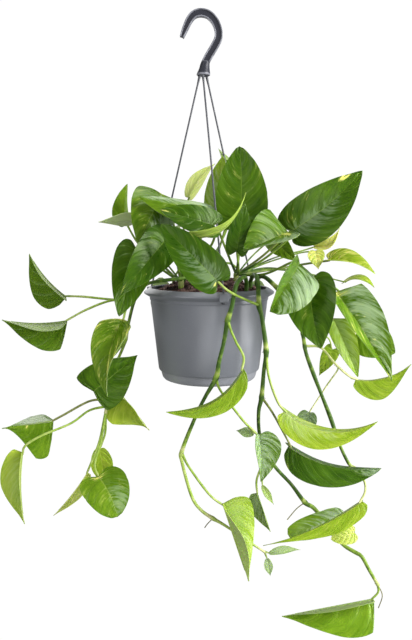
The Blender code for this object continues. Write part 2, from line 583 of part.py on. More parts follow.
def make_hook(parts, cutters):
    """The arm is a ribbed bar, lofted along its middle line, and the collar under it holds the strands."""
    material = new_material("hook_plastic", (0.020, 0.021, 0.024), 0.45)
    line = smooth_route([(x, 0.0, z, half) for x, z, half in HOOK_LINE], 6.0)
    shape = bmesh.new()
    rings = []
    for i, point in enumerate(line):
        ahead = line[min(i + 1, len(line) - 1)] - line[max(i - 1, 0)]
        along = Vector((ahead[0], 0, ahead[2])).normalized()
        across = Vector((-along.z, 0, along.x))
        half = point[3]
        depth = HOOK_HALF_DEPTH
        inner = half - HOOK_RIB
        section = (
            (half, -depth), (half, depth), (inner, depth), (inner - 0.3, depth - HOOK_GROOVE),
            (0.3 - inner, depth - HOOK_GROOVE), (-inner, depth), (-half, depth), (-half, -depth),
            (-inner, -depth), (0.3 - inner, HOOK_GROOVE - depth), (inner - 0.3, HOOK_GROOVE - depth),
            (inner, -depth),
        )
        centre = Vector((point[0], 0, point[2]))
        ring = [shape.verts.new((centre + across * u + Vector((0, v, 0))) * MM) for u, v in section]
        rings.append(ring)
    for near, far in zip(rings, rings[1:]):
        for i in range(len(near)):
            j = (i + 1) % len(near)
            shape.faces.new((near[i], near[j], far[j], far[i]))
    shape.faces.new(rings[0][::-1])
    shape.faces.new(rings[-1])
    bmesh.ops.recalc_face_normals(shape, faces=shape.faces)
    mesh = bpy.data.meshes.new("hook_arm")
    shape.to_mesh(mesh)
    shape.free()
    arm = as_helper(new_object("hook_arm", mesh, cutters))
    profile = (
        (0.0, COLLAR_TOP_Z), (5.2, COLLAR_TOP_Z), (6.6, COLLAR_TOP_Z - 2.0), (7.0, -56.0),
        (COLLAR_RADIUS, -57.4), (COLLAR_RADIUS, COLLAR_END_Z + 0.8), (COLLAR_RADIUS - 0.8, COLLAR_END_Z),
        (0.0, COLLAR_END_Z),
    )
    hook = turned("hook", profile, COLLAR_STEPS, parts, material)
    hook.location = place(COLLAR_X, 0, 0)
    add(hook, arm, "Arm")
    for side, turn in EYE_TURNS.items():
        angle = math.radians(turn)
        centre = (COLLAR_X + POCKET_CIRCLE * math.sin(angle), -POCKET_CIRCLE * math.cos(angle),
                  COLLAR_END_Z)
        pocket = as_helper(cylinder("pocket_" + side, centre, POCKET_RADIUS, 2 * POCKET_DEPTH, 12, cutters))
        cut(hook, pocket, "Pocket " + side)


def make_strands(parts):
    """Each strand hangs from its pocket in the collar by a sleeve and holds its eye with a button."""
    material = new_material("strand_plastic", (0.025, 0.026, 0.030), 0.40)
    top_z = COLLAR_END_Z + POCKET_DEPTH - GAP
    eye_top_z = EYE_BLOCK_Z + EYE_BLOCK[2] / 2
    eye_end_z = EYE_BLOCK_Z - EYE_BLOCK[2] / 2
    for side, turn in EYE_TURNS.items():
        angle = math.radians(turn)
        x = COLLAR_X + POCKET_CIRCLE * math.sin(angle)
        y = -POCKET_CIRCLE * math.cos(angle)
        end_x, end_y = eye_place(turn)
        button_z = eye_end_z - GAP
        points = (
            (x, y, top_z, SLEEVE_RADIUS), (x, y, COLLAR_END_Z - 1.0, SLEEVE_RADIUS),
            (x + 0.028 * (end_x - x), y + 0.028 * (end_y - y), COLLAR_END_Z - 7.0, SLEEVE_RADIUS),
            (x + 0.030 * (end_x - x), y + 0.030 * (end_y - y), COLLAR_END_Z - 7.6, STRAND_RADIUS),
            (x + 0.97 * (end_x - x), y + 0.97 * (end_y - y), eye_top_z + 7.0, STRAND_RADIUS),
            (end_x, end_y, eye_top_z + 1.0, STRAND_RADIUS), (end_x, end_y, button_z + 0.1, STRAND_RADIUS),
            (end_x, end_y, button_z, BUTTON_RADIUS), (end_x, end_y, button_z - 2.4, BUTTON_RADIUS - 0.2),
        )
        strand = tube("strand_" + side, points, 2, parts)
        strand.data.materials.append(material)


def blade_axes(leaf):
    """Joint, length, travel and the blade's own left and upper directions, then the viewer's."""
    joint = Vector(leaf.joint)
    chord = Vector(leaf.tip) - joint
    length = chord.length
    along = chord / length
    front = (Vector(VIEWER) - joint).normalized()
    facing = (front - along * front.dot(along)).normalized()
    left = facing.cross(along)
    angle = math.radians(leaf.turn)
    up = facing * math.cos(angle) + left * math.sin(angle)
    return joint, length, along, up.cross(along), up, left, facing


def edge_at(leaf, t):
    """The blade's outline at t from the joint (0) to the tip (1), on a smooth curve through BLADE_EDGE."""
    last = len(BLADE_EDGE) - 1
    spot = min(t * last, last - 1e-9)
    i = int(spot)
    f = spot - i
    b, c = Vector(BLADE_EDGE[i]), Vector(BLADE_EDGE[i + 1])
    a = Vector(BLADE_EDGE[i - 1]) if i else 2 * b - c
    d = Vector(BLADE_EDGE[i + 2]) if i + 2 <= last else 2 * c - b
    along, across, foot = 0.5 * (2 * b + (c - a) * f + (2 * a - 5 * b + 4 * c - d) * f * f
                                 + (3 * b - a - 3 * c + d) * f ** 3)
    if along < 0:
        along *= leaf.lobe
    if along > 0.3:
        across = max(across, 0.0) ** (1.0 / (1.0 + leaf.full))
    return along + leaf.rake * across * (1.0 - along), across, foot


def blade_point(leaf, axes, along, across):
    """A point of the blade's middle surface, in millimetres."""
    joint, length, forward, left, up, view_left, view_front = axes
    fold = math.radians(leaf.fold)
    turn = math.radians(leaf.twist) * (along - 0.5)
    left, up = (left * math.cos(turn) - up * math.sin(turn), up * math.cos(turn) + left * math.sin(turn))
    bow = 4.0 * length * (along if along < 0 else along * (1 - along))
    side = across * leaf.half_width
    lift = abs(side) * math.sin(fold) - leaf.cup * leaf.half_width * across ** 2
    return (joint + forward * along * length + left * side * math.cos(fold) + up * lift
            + view_left * leaf.sway * bow + view_front * leaf.arch * bow)


def blade_mesh(name, leaf):
    """A thin heart-shaped blade: rows run out along the side veins, and both faces split alike."""
    axes = blade_axes(leaf)
    rows, columns = (6, 2) if leaf.fused else (7, 2) if axes[1] < 52 else (8, 2)
    shape = bmesh.new()
    joint = shape.verts.new(blade_point(leaf, axes, 0, 0) * MM)
    tip = shape.verts.new(blade_point(leaf, axes, 1, 0) * MM)
    grid = []
    for i in range(1, rows):
        edge_along, edge_across, foot = edge_at(leaf, i / rows)
        row = []
        for j in range(-columns, columns + 1):
            q = j / columns
            along = foot + (edge_along - foot) * abs(q) ** 1.2
            row.append(shape.verts.new(blade_point(leaf, axes, along, edge_across * q) * MM))
        grid.append(row)
    for near, far in zip(grid, grid[1:]):
        for j in range(2 * columns):
            a, b, c, d = near[j], near[j + 1], far[j + 1], far[j]
            if j < columns:
                shape.faces.new((a, c, b))
                shape.faces.new((a, d, c))
            else:
                shape.faces.new((a, d, b))
                shape.faces.new((b, d, c))
    for j in range(2 * columns):
        shape.faces.new((joint, grid[0][j], grid[0][j + 1]))
        shape.faces.new((tip, grid[-1][j + 1], grid[-1][j]))
    mesh = bpy.data.meshes.new(name)
    shape.to_mesh(mesh)
    shape.free()
    return mesh


def make_blade(name, leaf, group, material=None):
    thing = new_object(name, blade_mesh(name, leaf), group, material)
    solidify = thing.modifiers.new("Thickness", "SOLIDIFY")
    solidify.thickness = BLADE_THICKNESS * MM
    solidify.offset = 0.0
    return thing


def petiole_room(route, tree):
    """How near the last stretch of a petiole comes to a blade, in millimetres."""
    back, end = Vector(route[-2][:3]), Vector(route[-1][:3])
    run = (end - back).normalized()
    side = run.orthogonal().normalized()
    found = []
    for distance, reach in PETIOLE_PROBES:
        centre = end - run * distance
        radius = route[-1][3] + (route[-2][3] - route[-1][3]) * distance / (end - back).length
        for i in range(PETIOLE_PROBE_TURNS):
            turn = Quaternion(run, 2 * math.pi * i / PETIOLE_PROBE_TURNS)
            spot = centre + turn @ side * radius * reach
            found.append(tree.find_nearest(spot * MM)[3] / MM)
    return min(found)


def petiole_points(leaf, tree):
    """From the stem to just short of the blade, or into the blade where they are one piece."""
    joint, length, forward, _, up = blade_axes(leaf)[:5]
    thickness = 0.7 if length < SHORT_BLADE else 1.0
    end_radius = PETIOLE_END_RADIUS * thickness
    points = [(*spot, PETIOLE_RADIUS * 1.25 * thickness) for spot in leaf.petiole]
    last = Vector(leaf.petiole[-1])
    run = (joint - last).normalized()
    if leaf.fused:
        end = joint + forward * 0.06 * length
        return smooth_route([*points, (*end, end_radius)], PETIOLE_POINT_STEP)
    end = joint - run * PETIOLE_BACK
    if leaf.fold >= 0:
        end = joint - run * PETIOLE_UNDER_BACK - up * PETIOLE_UNDER
    route = smooth_route([*points, (*end, end_radius)], PETIOLE_POINT_STEP)
    for move in (run, up, (joint - end).normalized()):
        for _ in range(PETIOLE_MOST_PUSHES):
            pushed = end + move * PETIOLE_PUSH
            longer = smooth_route([*points, (*pushed, end_radius)], PETIOLE_POINT_STEP)
            if petiole_room(longer, tree) < PETIOLE_GAP:
                return route
            end = pushed
            route = longer
    return route


def make_stems(parts, trees):
    """Each stem with its petioles, its aerial roots and the small leaves that are one piece with it."""
    for name, route in STEMS.items():
        material = new_material(name + "_skin", MID if name.startswith("vine") else YOUNG, 0.45)
        pieces = [make_mesh(tube(name + "_stem", smooth_route(route, VINE_POINT_STEP), 2, parts))]
        for leaf_name, leaf in LEAVES.items():
            if leaf.stem != name:
                continue
            points = petiole_points(leaf, trees.get(leaf_name))
            pieces.append(make_mesh(tube(leaf_name + "_petiole", points, 1, parts)))
            if leaf.fused:
                pieces.append(make_mesh(make_blade(leaf_name, leaf, parts)))
        for stem, points in ROOTLETS:
            if stem == name:
                thin = smooth_route([(*point, ROOTLET_RADIUS) for point in points], 4.0)
                pieces.append(make_mesh(tube(name + "_rootlet", thin, 0, parts)))
        union_all(name, pieces, parts, material)


def make_leaves(parts):
    """Each large leaf, and a tree of its faces for its petiole to stop at."""
    trees = {}
    for name, leaf in LEAVES.items():
        if leaf.fused:
            continue
        material = new_material(name + "_skin", leaf.colour, 0.35)
        blade = make_blade(name, leaf, parts, material)
        blade.data.shade_smooth()
        solid = evaluated_mesh(blade)
        trees[name] = BVHTree.FromPolygons([corner.co[:] for corner in solid.vertices],
                                           [face.vertices[:] for face in solid.polygons])
        bpy.data.meshes.remove(solid)
    return trees


def main():
    clear_scene()
    parts = new_collection("potted_golden_pothos")
    cutters = new_collection("cutters")
    make_pot(parts, cutters)
    make_saucer(parts)
    make_soil(parts, cutters)
    make_hook(parts, cutters)
    make_strands(parts)
    make_stems(parts, make_leaves(parts))


main()
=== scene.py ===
"""Looks of the golden pothos in its hanging pot: pot, saucer, soil, hook, strands, stems and leaves.

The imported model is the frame. Each plain solid is replaced by a finer piece of the same form, made at the
same place. Places in the tables are in millimetres, and MM turns them into metres. The front is -Y.
"""

import math
import random
from dataclasses import dataclass

import bmesh
import bpy
from mathutils import Matrix, Quaternion, Vector, noise


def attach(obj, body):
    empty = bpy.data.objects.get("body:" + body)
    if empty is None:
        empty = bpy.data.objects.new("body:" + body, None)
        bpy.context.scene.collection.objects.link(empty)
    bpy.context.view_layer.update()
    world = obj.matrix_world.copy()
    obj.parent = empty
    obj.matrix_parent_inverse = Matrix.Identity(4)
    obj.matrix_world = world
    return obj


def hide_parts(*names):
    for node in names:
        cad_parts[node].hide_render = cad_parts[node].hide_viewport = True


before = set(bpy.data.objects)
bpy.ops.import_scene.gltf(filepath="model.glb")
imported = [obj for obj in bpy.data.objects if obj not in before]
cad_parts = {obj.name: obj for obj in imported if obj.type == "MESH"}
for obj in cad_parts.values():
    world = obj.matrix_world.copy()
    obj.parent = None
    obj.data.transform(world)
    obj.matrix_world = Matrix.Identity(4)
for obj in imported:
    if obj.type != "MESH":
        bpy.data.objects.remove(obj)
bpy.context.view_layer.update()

# Camera
# It stands in front of the plant at the height of its crown and looks slightly down, as the photograph does.
# The focal length is given in pixels of the 412 x 640 frame and turned into a lens for a 36 mm sensor.
CAMERA_PLACE = (0.0055, -0.7614, -0.235)
CAMERA_PITCH_DOWN = 7.51
FOCAL_PIXELS = 660.0
FRAME_HEIGHT_PIXELS = 640.0
SENSOR_HEIGHT = 36.0


def new_object(name, data):
    piece = bpy.data.objects.new(name, data)
    bpy.context.scene.collection.objects.link(piece)
    return piece


camera_data = bpy.data.cameras.new("camera")
camera_data.sensor_fit = "VERTICAL"
camera_data.sensor_height = SENSOR_HEIGHT
camera_data.sensor_width = SENSOR_HEIGHT
camera_data.lens = SENSOR_HEIGHT * FOCAL_PIXELS / FRAME_HEIGHT_PIXELS
camera_data.clip_start = 0.01
camera_data.clip_end = 30.0
camera = new_object("camera", camera_data)
camera.location = CAMERA_PLACE
camera.rotation_euler = (math.radians(90.0 - CAMERA_PITCH_DOWN), 0.0, 0.0)
bpy.context.scene.camera = camera

# Studio
# The plant hangs in front of plain white, above a plain white floor. A bright light from the right shapes the
# pot, with one above, a weaker one from the left, one behind that lifts the leaf margins, one low in front
# and one straight from the right.
SEEN_STRENGTH = 1.02
SURROUND_STRENGTH = 0.32
FLOOR_Z = -1.1
FLOOR_SIZE = 12.0
LIGHTS = (
    # name, place, aim, side lengths, power
    ("key_light", (1.45, -0.90, 0.42), (0.02, 0.0, -0.32), (0.7, 1.0), 42.0),
    ("left_light", (-1.25, -1.30, 0.40), (0.0, 0.0, -0.35), (0.8, 1.0), 16.0),
    ("top_light", (0.00, 0.35, 1.25), (0.0, 0.0, -0.30), (0.9, 0.6), 9.0),
    ("back_light", (-0.55, 1.35, 0.15), (0.0, 0.0, -0.35), (1.0, 0.9), 6.0),
    ("low_light", (0.10, -1.30, -1.05), (0.0, 0.0, -0.40), (1.2, 0.8), 12.0),
    ("side_light", (1.35, -0.25, -0.35), (0.0, 0.0, -0.36), (0.6, 1.0), 24.0),
)


def white_glow(owner, kind, output_kind):
    """Makes a world or a material plain white to the camera, while it lights the plant only weakly."""
    owner.use_nodes = True
    nodes, links = owner.node_tree.nodes, owner.node_tree.links
    nodes.clear()
    path = nodes.new("ShaderNodeLightPath")
    chosen = nodes.new("ShaderNodeMixShader")
    links.new(path.outputs["Is Camera Ray"], chosen.inputs["Fac"])
    for place, strength in enumerate((SURROUND_STRENGTH, SEEN_STRENGTH), start=1):
        glow = nodes.new(kind)
        glow.inputs["Color"].default_value = (1.0, 1.0, 1.0, 1.0)
        glow.inputs["Strength"].default_value = strength
        links.new(glow.outputs[0], chosen.inputs[place])
    links.new(chosen.outputs["Shader"], nodes.new(output_kind).inputs["Surface"])


bpy.context.scene.view_settings.view_transform = "Standard"
surround = bpy.data.worlds.new("surround")
white_glow(surround, "ShaderNodeBackground", "ShaderNodeOutputWorld")
bpy.context.scene.world = surround

bpy.ops.object.select_all(action="DESELECT")
bpy.ops.mesh.primitive_plane_add(size=FLOOR_SIZE, location=(0.0, 0.0, FLOOR_Z))
floor = bpy.context.active_object
floor.name = "floor"
bpy.ops.object.transform_apply(location=True, rotation=True, scale=True)
floor_finish = bpy.data.materials.new("plain_white_floor")
white_glow(floor_finish, "ShaderNodeEmission", "ShaderNodeOutputMaterial")
floor.data.materials.append(floor_finish)

for light_name, light_place, light_aim, light_sides, power in LIGHTS:
    light_data = bpy.data.lights.new(light_name, "AREA")
    light_data.shape = "RECTANGLE"
    light_data.size, light_data.size_y = light_sides
    light_data.energy = power
    light = new_object(light_name, light_data)
    light.location = light_place
    light.rotation_mode = "QUATERNION"
    light.rotation_quaternion = (Vector(light_aim) - Vector(light_place)).to_track_quat("-Z", "Y")

# Pot
# A thin moulded plastic pot with a rolled rim bead, a step under it, a slight taper and a short skirt that
# the saucer clips into. Three blocks in the rim hold the eyes of the strands. It is turned from one outline.
MM = 0.001
POT_X = 9.0
POT_RIM_Z = -297.0
POT_STEPS = 144
POT_OUTLINE = (
    (0.4, -383.6), (55.4, -383.6), (56.4, -382.9), (60.9, -352.0), (65.8, -310.6), (66.5, -307.0),
    (71.8, -303.6), (72.5, -302.4), (71.8, -301.4), (66.6, -298.6), (66.6, -297.5), (67.1, POT_RIM_Z),
    (67.9, POT_RIM_Z), (68.6, -297.3), (73.9, -300.6), (74.8, -301.5), (75.0, -302.4), (74.5, -303.5),
    (69.0, -306.8), (68.4, -307.6), (68.3, -310.3), (67.6, -311.2), (67.35, -312.6), (63.1, -351.0),
    (58.8, -390.2), (58.2, -391.6), (57.1, -391.6), (57.2, -385.4), (0.4, -385.4),
)
DRAIN_RADIUS = 3.5
DRAIN_CIRCLE = 34.0
DRAIN_COUNT = 6
DRAIN_Z = -384.5
DRAIN_CUT = 8.0
EYE_HOLE = 1.3
EYE_CUT = 30.0
EYE_TURNS = {"front": 12.0, "right": 132.0, "left": -108.0}
EYE_CIRCLE = 71.6
EYE_BLOCK = (11.0, 8.0, 9.4)
EYE_BLOCK_Z = -302.6
EYE_BLOCK_ROUNDING = 0.9
POT_ROUNDING = 0.35
MOULDED_SMOOTHING = 32.0
POT_GREY = (0.128, 0.137, 0.158)
PALE_DUST = (0.30, 0.30, 0.30)


def pick(piece):
    """Makes a piece the only selected one, and the active one."""
    bpy.ops.object.select_all(action="DESELECT")
    piece.select_set(True)
    bpy.context.view_layer.objects.active = piece


def smooth(degrees):
    """Smooths the selected piece, apart from edges sharper than the angle."""
    bpy.ops.object.shade_smooth_by_angle(angle=math.radians(degrees))


def turn_outline(name, outline, steps, centre_x):
    """Draws a circle, then extrudes it ring by ring through the outline's (radius, height) pairs."""
    bpy.ops.object.select_all(action="DESELECT")
    radius, height = outline[0]
    bpy.ops.mesh.primitive_circle_add(vertices=steps, radius=radius * MM,
                                      location=(centre_x * MM, 0.0, height * MM))
    piece = bpy.context.active_object
    piece.name = name
    bpy.ops.object.transform_apply(location=True, rotation=True, scale=True)
    bpy.ops.object.mode_set(mode="EDIT")
    bpy.ops.mesh.select_all(action="SELECT")
    for next_radius, next_height in outline[1:]:
        bpy.ops.mesh.extrude_region_move(
            TRANSFORM_OT_translate={"value": (0.0, 0.0, (next_height - height) * MM)})
        factor = next_radius / radius
        bpy.ops.transform.resize(value=(factor, factor, 1.0), center_override=(centre_x * MM, 0.0, 0.0))
        radius, height = next_radius, next_height
    bpy.ops.object.mode_set(mode="OBJECT")
    return piece


def seal(piece):
    """Fills the open ring at each end of a turned outline and turns the faces outward."""
    pick(piece)
    bpy.ops.object.mode_set(mode="EDIT")
    bpy.ops.mesh.select_all(action="SELECT")
    bpy.ops.mesh.fill_holes(sides=0)
    bpy.ops.mesh.select_all(action="SELECT")
    bpy.ops.mesh.remove_doubles(threshold=0.000005)
    bpy.ops.mesh.normals_make_consistent(inside=False)
    bpy.ops.object.mode_set(mode="OBJECT")


def join(pieces, name):
    """Joins the pieces into the first one."""
    bpy.ops.object.select_all(action="DESELECT")
    for piece in pieces:
        piece.select_set(True)
    bpy.context.view_layer.objects.active = pieces[0]
    bpy.ops.object.join()
    pieces[0].name = name
    return pieces[0]


def round_edges(piece, width, segments, angle=34.0):
    bevel = piece.modifiers.new("Rounded edges", "BEVEL")
    bevel.width = width * MM
    bevel.segments = segments
    bevel.limit_method = "ANGLE"
    bevel.angle_limit = math.radians(angle)
    bpy.context.view_layer.objects.active = piece
    bpy.ops.object.modifier_apply(modifier=bevel.name)


def drill(piece, x, y, z, radius, depth):
    """Cuts an upright round hole."""
    bpy.ops.object.select_all(action="DESELECT")
    bpy.ops.mesh.primitive_cylinder_add(vertices=32, radius=radius * MM, depth=depth * MM,
                                        location=(x * MM, y * MM, z * MM))
    bit = bpy.context.active_object
    hole = piece.modifiers.new("Hole", "BOOLEAN")
    hole.operation = "DIFFERENCE"
    hole.object = bit
    bpy.context.view_layer.objects.active = piece
    bpy.ops.object.modifier_apply(modifier="Hole")
    bpy.data.objects.remove(bit)


def finish_piece(piece, node, finish):
    """Gives a piece its finish, hides the plain node that it stands for and hangs the piece under the root.
    """
    piece.data.materials.clear()
    piece.data.materials.append(finish)
    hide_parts(node)
    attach(piece, "root")


class Output:
    """What a shader node puts out. Arithmetic with it adds Math nodes to its tree."""

    def __init__(self, node, name):
        self.socket = node.outputs[name]
        self.tree = node.id_data

    def math(self, operation, *terms):
        node = self.tree.nodes.new("ShaderNodeMath")
        node.operation = operation
        for socket, term in zip(node.inputs, (self, *terms)):
            fill(socket, term)
        return Output(node, "Value")

    def __add__(self, term):
        return self.math("ADD", term)

    def __sub__(self, term):
        return self.math("SUBTRACT", term)

    def __rsub__(self, term):
        return self * -1.0 + term

    def __mul__(self, term):
        return self.math("MULTIPLY", term)

    def __truediv__(self, term):
        return self.math("DIVIDE", term)

    def __pow__(self, term):
        return self.math("POWER", term)

    def __abs__(self):
        return self.math("ABSOLUTE")

    def clamped(self):
        return self.math("MAXIMUM", 0.0).math("MINIMUM", 1.0)


def fill(socket, value):
    """Gives an input its value, or links it to the Output that it comes from."""
    if isinstance(value, Output):
        value.tree.links.new(value.socket, socket)
    else:
        socket.default_value = value


def feed(node, **inputs):
    """Fills the named inputs of a node. An underscore stands for a space in a name."""
    for name, value in inputs.items():
        fill(node.inputs[name.replace("_", " ")], value)
    return node


def add_node(tree, kind, **inputs):
    return feed(tree.nodes.new("ShaderNode" + kind), **inputs)


def add_group(tree, group, **inputs):
    node = tree.nodes.new("ShaderNodeGroup")
    node.node_tree = group
    return feed(node, **inputs)


def noise_map(place, scale, detail, roughness=0.5):
    texture = add_node(place.tree, "TexNoise", Vector=place, Scale=scale, Detail=detail, Roughness=roughness)
    return Output(texture, "Fac")


def bumpy(height, strength, depth):
    """The normal of a relief so many millimetres deep."""
    relief = add_node(height.tree, "Bump", Height=height, Strength=strength, Distance=depth * MM)
    return Output(relief, "Normal")


def blend(factor, first, second):
    """A colour between two others."""
    mixed = factor.tree.nodes.new("ShaderNodeMix")
    mixed.data_type = "RGBA"
    return Output(feed(mixed, Factor=factor, A=first, B=second), "Result")


def new_finish(name):
    """A material with its Principled node and a Texture Coordinate node."""
    finish = bpy.data.materials.new(name)
    finish.use_nodes = True
    return finish, finish.node_tree.nodes["Principled BSDF"], add_node(finish.node_tree, "TexCoord")


def new_group(name, vectors, colours, floats):
    """A node group with inputs of three kinds. It puts out a colour, a roughness and a height."""
    group = bpy.data.node_groups.new(name, "ShaderNodeTree")
    for side, kind, sockets in (
        ("INPUT", "Vector", vectors), ("INPUT", "Color", colours), ("INPUT", "Float", floats),
        ("OUTPUT", "Color", ("Color",)), ("OUTPUT", "Float", ("Roughness", "Height")),
    ):
        for socket in sockets:
            group.interface.new_socket(socket, in_out=side, socket_type="NodeSocket" + kind)
    return group, group.nodes.new("NodeGroupInput"), group.nodes.new("NodeGroupOutput")


def moulded_plastic_group():
    """Moulded plastic: a faint mottle, fine specks of dust and the grain of the mould."""
    group, given, result = new_group("moulded plastic", ("Place",), ("Plastic", "Dust"), ("Dust amount",))
    place = Output(given, "Place")
    specks = add_node(group, "MapRange", Value=noise_map(place, 900.0, 3.0), From_Min=0.55, From_Max=0.75)
    cloud = noise_map(place, 38.0, 5.0) * 0.30 + Output(specks, "Result") * Output(given, "Dust amount")
    dull = add_node(group, "MapRange", Value=cloud, To_Min=0.34, To_Max=0.60)
    feed(result, Color=blend(cloud * 0.5, Output(given, "Plastic"), Output(given, "Dust")),
         Roughness=Output(dull, "Result"), Height=noise_map(place, 1900.0, 2.0))
    return group


def plastic_finish(name, plastic, dust, dust_amount, grain_depth):
    finish, skin, where = new_finish(name)
    pattern = add_group(finish.node_tree, plastic_group, Place=Output(where, "Object"),
                        Plastic=(*plastic, 1.0), Dust=(*dust, 1.0), Dust_amount=dust_amount)
    feed(skin, Base_Color=Output(pattern, "Color"), Roughness=Output(pattern, "Roughness"),
         Normal=bumpy(Output(pattern, "Height"), 0.35, grain_depth))
    return finish


plastic_group = moulded_plastic_group()
pot_finish = plastic_finish("slate_grey_plastic", POT_GREY, PALE_DUST, dust_amount=0.20,
                            grain_depth=0.10)

pot_body = turn_outline("pot_wall", POT_OUTLINE, POT_STEPS, POT_X)
seal(pot_body)
for i in range(DRAIN_COUNT):
    angle = 2 * math.pi * i / DRAIN_COUNT
    drill(pot_body, POT_X + DRAIN_CIRCLE * math.cos(angle), DRAIN_CIRCLE * math.sin(angle), DRAIN_Z,
          DRAIN_RADIUS, DRAIN_CUT)
round_edges(pot_body, POT_ROUNDING, 2, 40.0)
eye_blocks = []
for side, turn in EYE_TURNS.items():
    angle = math.radians(turn)
    eye_x, eye_y = POT_X + EYE_CIRCLE * math.sin(angle), -EYE_CIRCLE * math.cos(angle)
    bpy.ops.object.select_all(action="DESELECT")
    bpy.ops.mesh.primitive_cube_add(size=1.0, scale=Vector(EYE_BLOCK) * MM, rotation=(0.0, 0.0, angle),
                                    location=(eye_x * MM, eye_y * MM, EYE_BLOCK_Z * MM))
    eye_block = bpy.context.active_object
    bpy.ops.object.transform_apply(location=True, rotation=True, scale=True)
    drill(eye_block, eye_x, eye_y, EYE_BLOCK_Z, EYE_HOLE, EYE_CUT)
    round_edges(eye_block, EYE_BLOCK_ROUNDING, 4, 60.0)
    eye_blocks.append(eye_block)
pot_body = join([pot_body, *eye_blocks], "pot_wall")
smooth(MOULDED_SMOOTHING)
finish_piece(pot_body, "pot", pot_finish)

# Saucer
# A shallow dish of the same plastic that clips inside the pot's skirt. Its wall is set in, so it reads as a
# darker recessed band under the pot. Its flat base is what the pot stands on when it is taken down.
SAUCER_OUTLINE = (
    (0.4, -401.3), (49.6, -401.3), (51.4, -400.6), (52.6, -399.2), (55.2, -391.5), (55.3, -388.2),
    (56.7, -388.2), (56.7, -391.9), (56.3, -393.0), (54.9, -398.4), (54.2, -400.4), (52.8, -402.1),
    (50.5, -403.0), (0.4, -403.0),
)
SAUCER_ROUNDING = 0.3
SAUCER_GREY = (0.200, 0.208, 0.234)

saucer_dish = turn_outline("saucer_dish", SAUCER_OUTLINE, POT_STEPS, POT_X)
seal(saucer_dish)
round_edges(saucer_dish, SAUCER_ROUNDING, 2)
smooth(MOULDED_SMOOTHING)
saucer_finish = plastic_finish("slate_grey_saucer", SAUCER_GREY, PALE_DUST, dust_amount=0.25,
                               grain_depth=0.10)
finish_piece(saucer_dish, "saucer", saucer_finish)

# Soil
# Dark crumbly potting mix, mounded a little over the rim: bark fines, clods and a few pale bits lie on top.
# It fills the pot down to the floor, narrows with the wall, and the stems stand in it.
SOIL_RADIUS = 64.4
SOIL_EDGE_Z = -303.0
SOIL_MOUND = 17.0
SOIL_UNDER_Z = -383.2
SOIL_RINGS = 26
SOIL_STEPS = 120
CLOD_COUNT = 620
CLOD_SIZES = (0.8, 2.6)
CLOD_SPREAD = 0.97
CLOD_SINK = 0.25
ROUGHNESS_FADE = 5.0
EARTH = (
    (0.30, (0.012, 0.008, 0.008, 1.0)), (0.50, (0.070, 0.038, 0.034, 1.0)),
    (0.72, (0.330, 0.210, 0.170, 1.0)),
)


def soil_height(x, y):
    """Height of the mound at a place, crumbs included, in millimetres."""
    radius = min(1.0, math.hypot(x - POT_X, y) / SOIL_RADIUS)
    rough = noise.noise(Vector((x, y, 0.0)) * 0.16) * 1.6 + noise.noise(Vector((x, y, 5.0)) * 0.55) * 0.9
    fade = min(1.0, (1.0 - radius) * SOIL_RADIUS / ROUGHNESS_FADE)
    return SOIL_EDGE_Z + SOIL_MOUND * (1 - radius * radius) + rough * fade * 1.5


def object_from(shape, name):
    """Puts the mesh that was built in shape into a new object."""
    mesh = bpy.data.meshes.new(name)
    shape.to_mesh(mesh)
    shape.free()
    return new_object(name, mesh)


def ramp(factor, *colours):
    """Colours that change between stops, each a position and a colour."""
    first, *middle, last = colours
    node = add_node(factor.tree, "ValToRGB", Fac=factor)
    stops = node.color_ramp.elements
    stops[0].position, stops[0].color = first
    stops[1].position, stops[1].color = last
    for position, colour in middle:
        stops.new(position).color = colour
    return Output(node, "Color")


soil_outline = [(0.4 + (SOIL_RADIUS - 0.4) * i / SOIL_RINGS, SOIL_EDGE_Z) for i in range(SOIL_RINGS + 1)]
soil_outline += [(SOIL_RADIUS - 0.6, -312.0), (55.2, SOIL_UNDER_Z + 2.0), (54.0, SOIL_UNDER_Z),
                 (0.4, SOIL_UNDER_Z)]
soil_body = turn_outline("soil_mound", soil_outline, SOIL_STEPS, POT_X)
for vertex in soil_body.data.vertices:
    if vertex.co.z > (SOIL_EDGE_Z - 1.0) * MM:
        vertex.co.z = soil_height(vertex.co.x / MM, vertex.co.y / MM) * MM
seal(soil_body)
bpy.ops.object.shade_smooth()

crumbs = random.Random(14)
clods = bmesh.new()
for _ in range(CLOD_COUNT):
    radius = SOIL_RADIUS * CLOD_SPREAD * math.sqrt(crumbs.random())
    angle = crumbs.uniform(0.0, 2 * math.pi)
    x, y = POT_X + radius * math.cos(angle), radius * math.sin(angle)
    size = crumbs.uniform(*CLOD_SIZES) * crumbs.uniform(0.6, 1.0)
    turned = Quaternion((crumbs.uniform(-1, 1), crumbs.uniform(-1, 1), crumbs.uniform(-1, 1)),
                        crumbs.uniform(0.0, 3.1)).to_matrix().to_4x4()
    shape = Matrix.Diagonal((crumbs.uniform(0.7, 1.5), crumbs.uniform(0.6, 1.1), crumbs.uniform(0.4, 0.8),
                             1.0))
    spot = Matrix.Translation(Vector((x, y, soil_height(x, y) + size * CLOD_SINK)) * MM)
    bmesh.ops.create_icosphere(clods, subdivisions=1, radius=size * MM, matrix=spot @ turned @ shape)
soil_body = join([soil_body, object_from(clods, "soil_clods")], "soil_mound")

soil_finish, skin, where = new_finish("potting_mix")
coarse = noise_map(Output(where, "Object"), 160.0, 8.0)
clefts = add_node(soil_finish.node_tree, "TexVoronoi", Vector=Output(where, "Object"), Scale=420.0)
feed(skin, Base_Color=ramp(coarse, *EARTH), Normal=bumpy(coarse * Output(clefts, "Distance"), 0.9, 0.8),
     Roughness=0.95, Specular_IOR_Level=0.2)
finish_piece(soil_body, "soil", soil_finish)
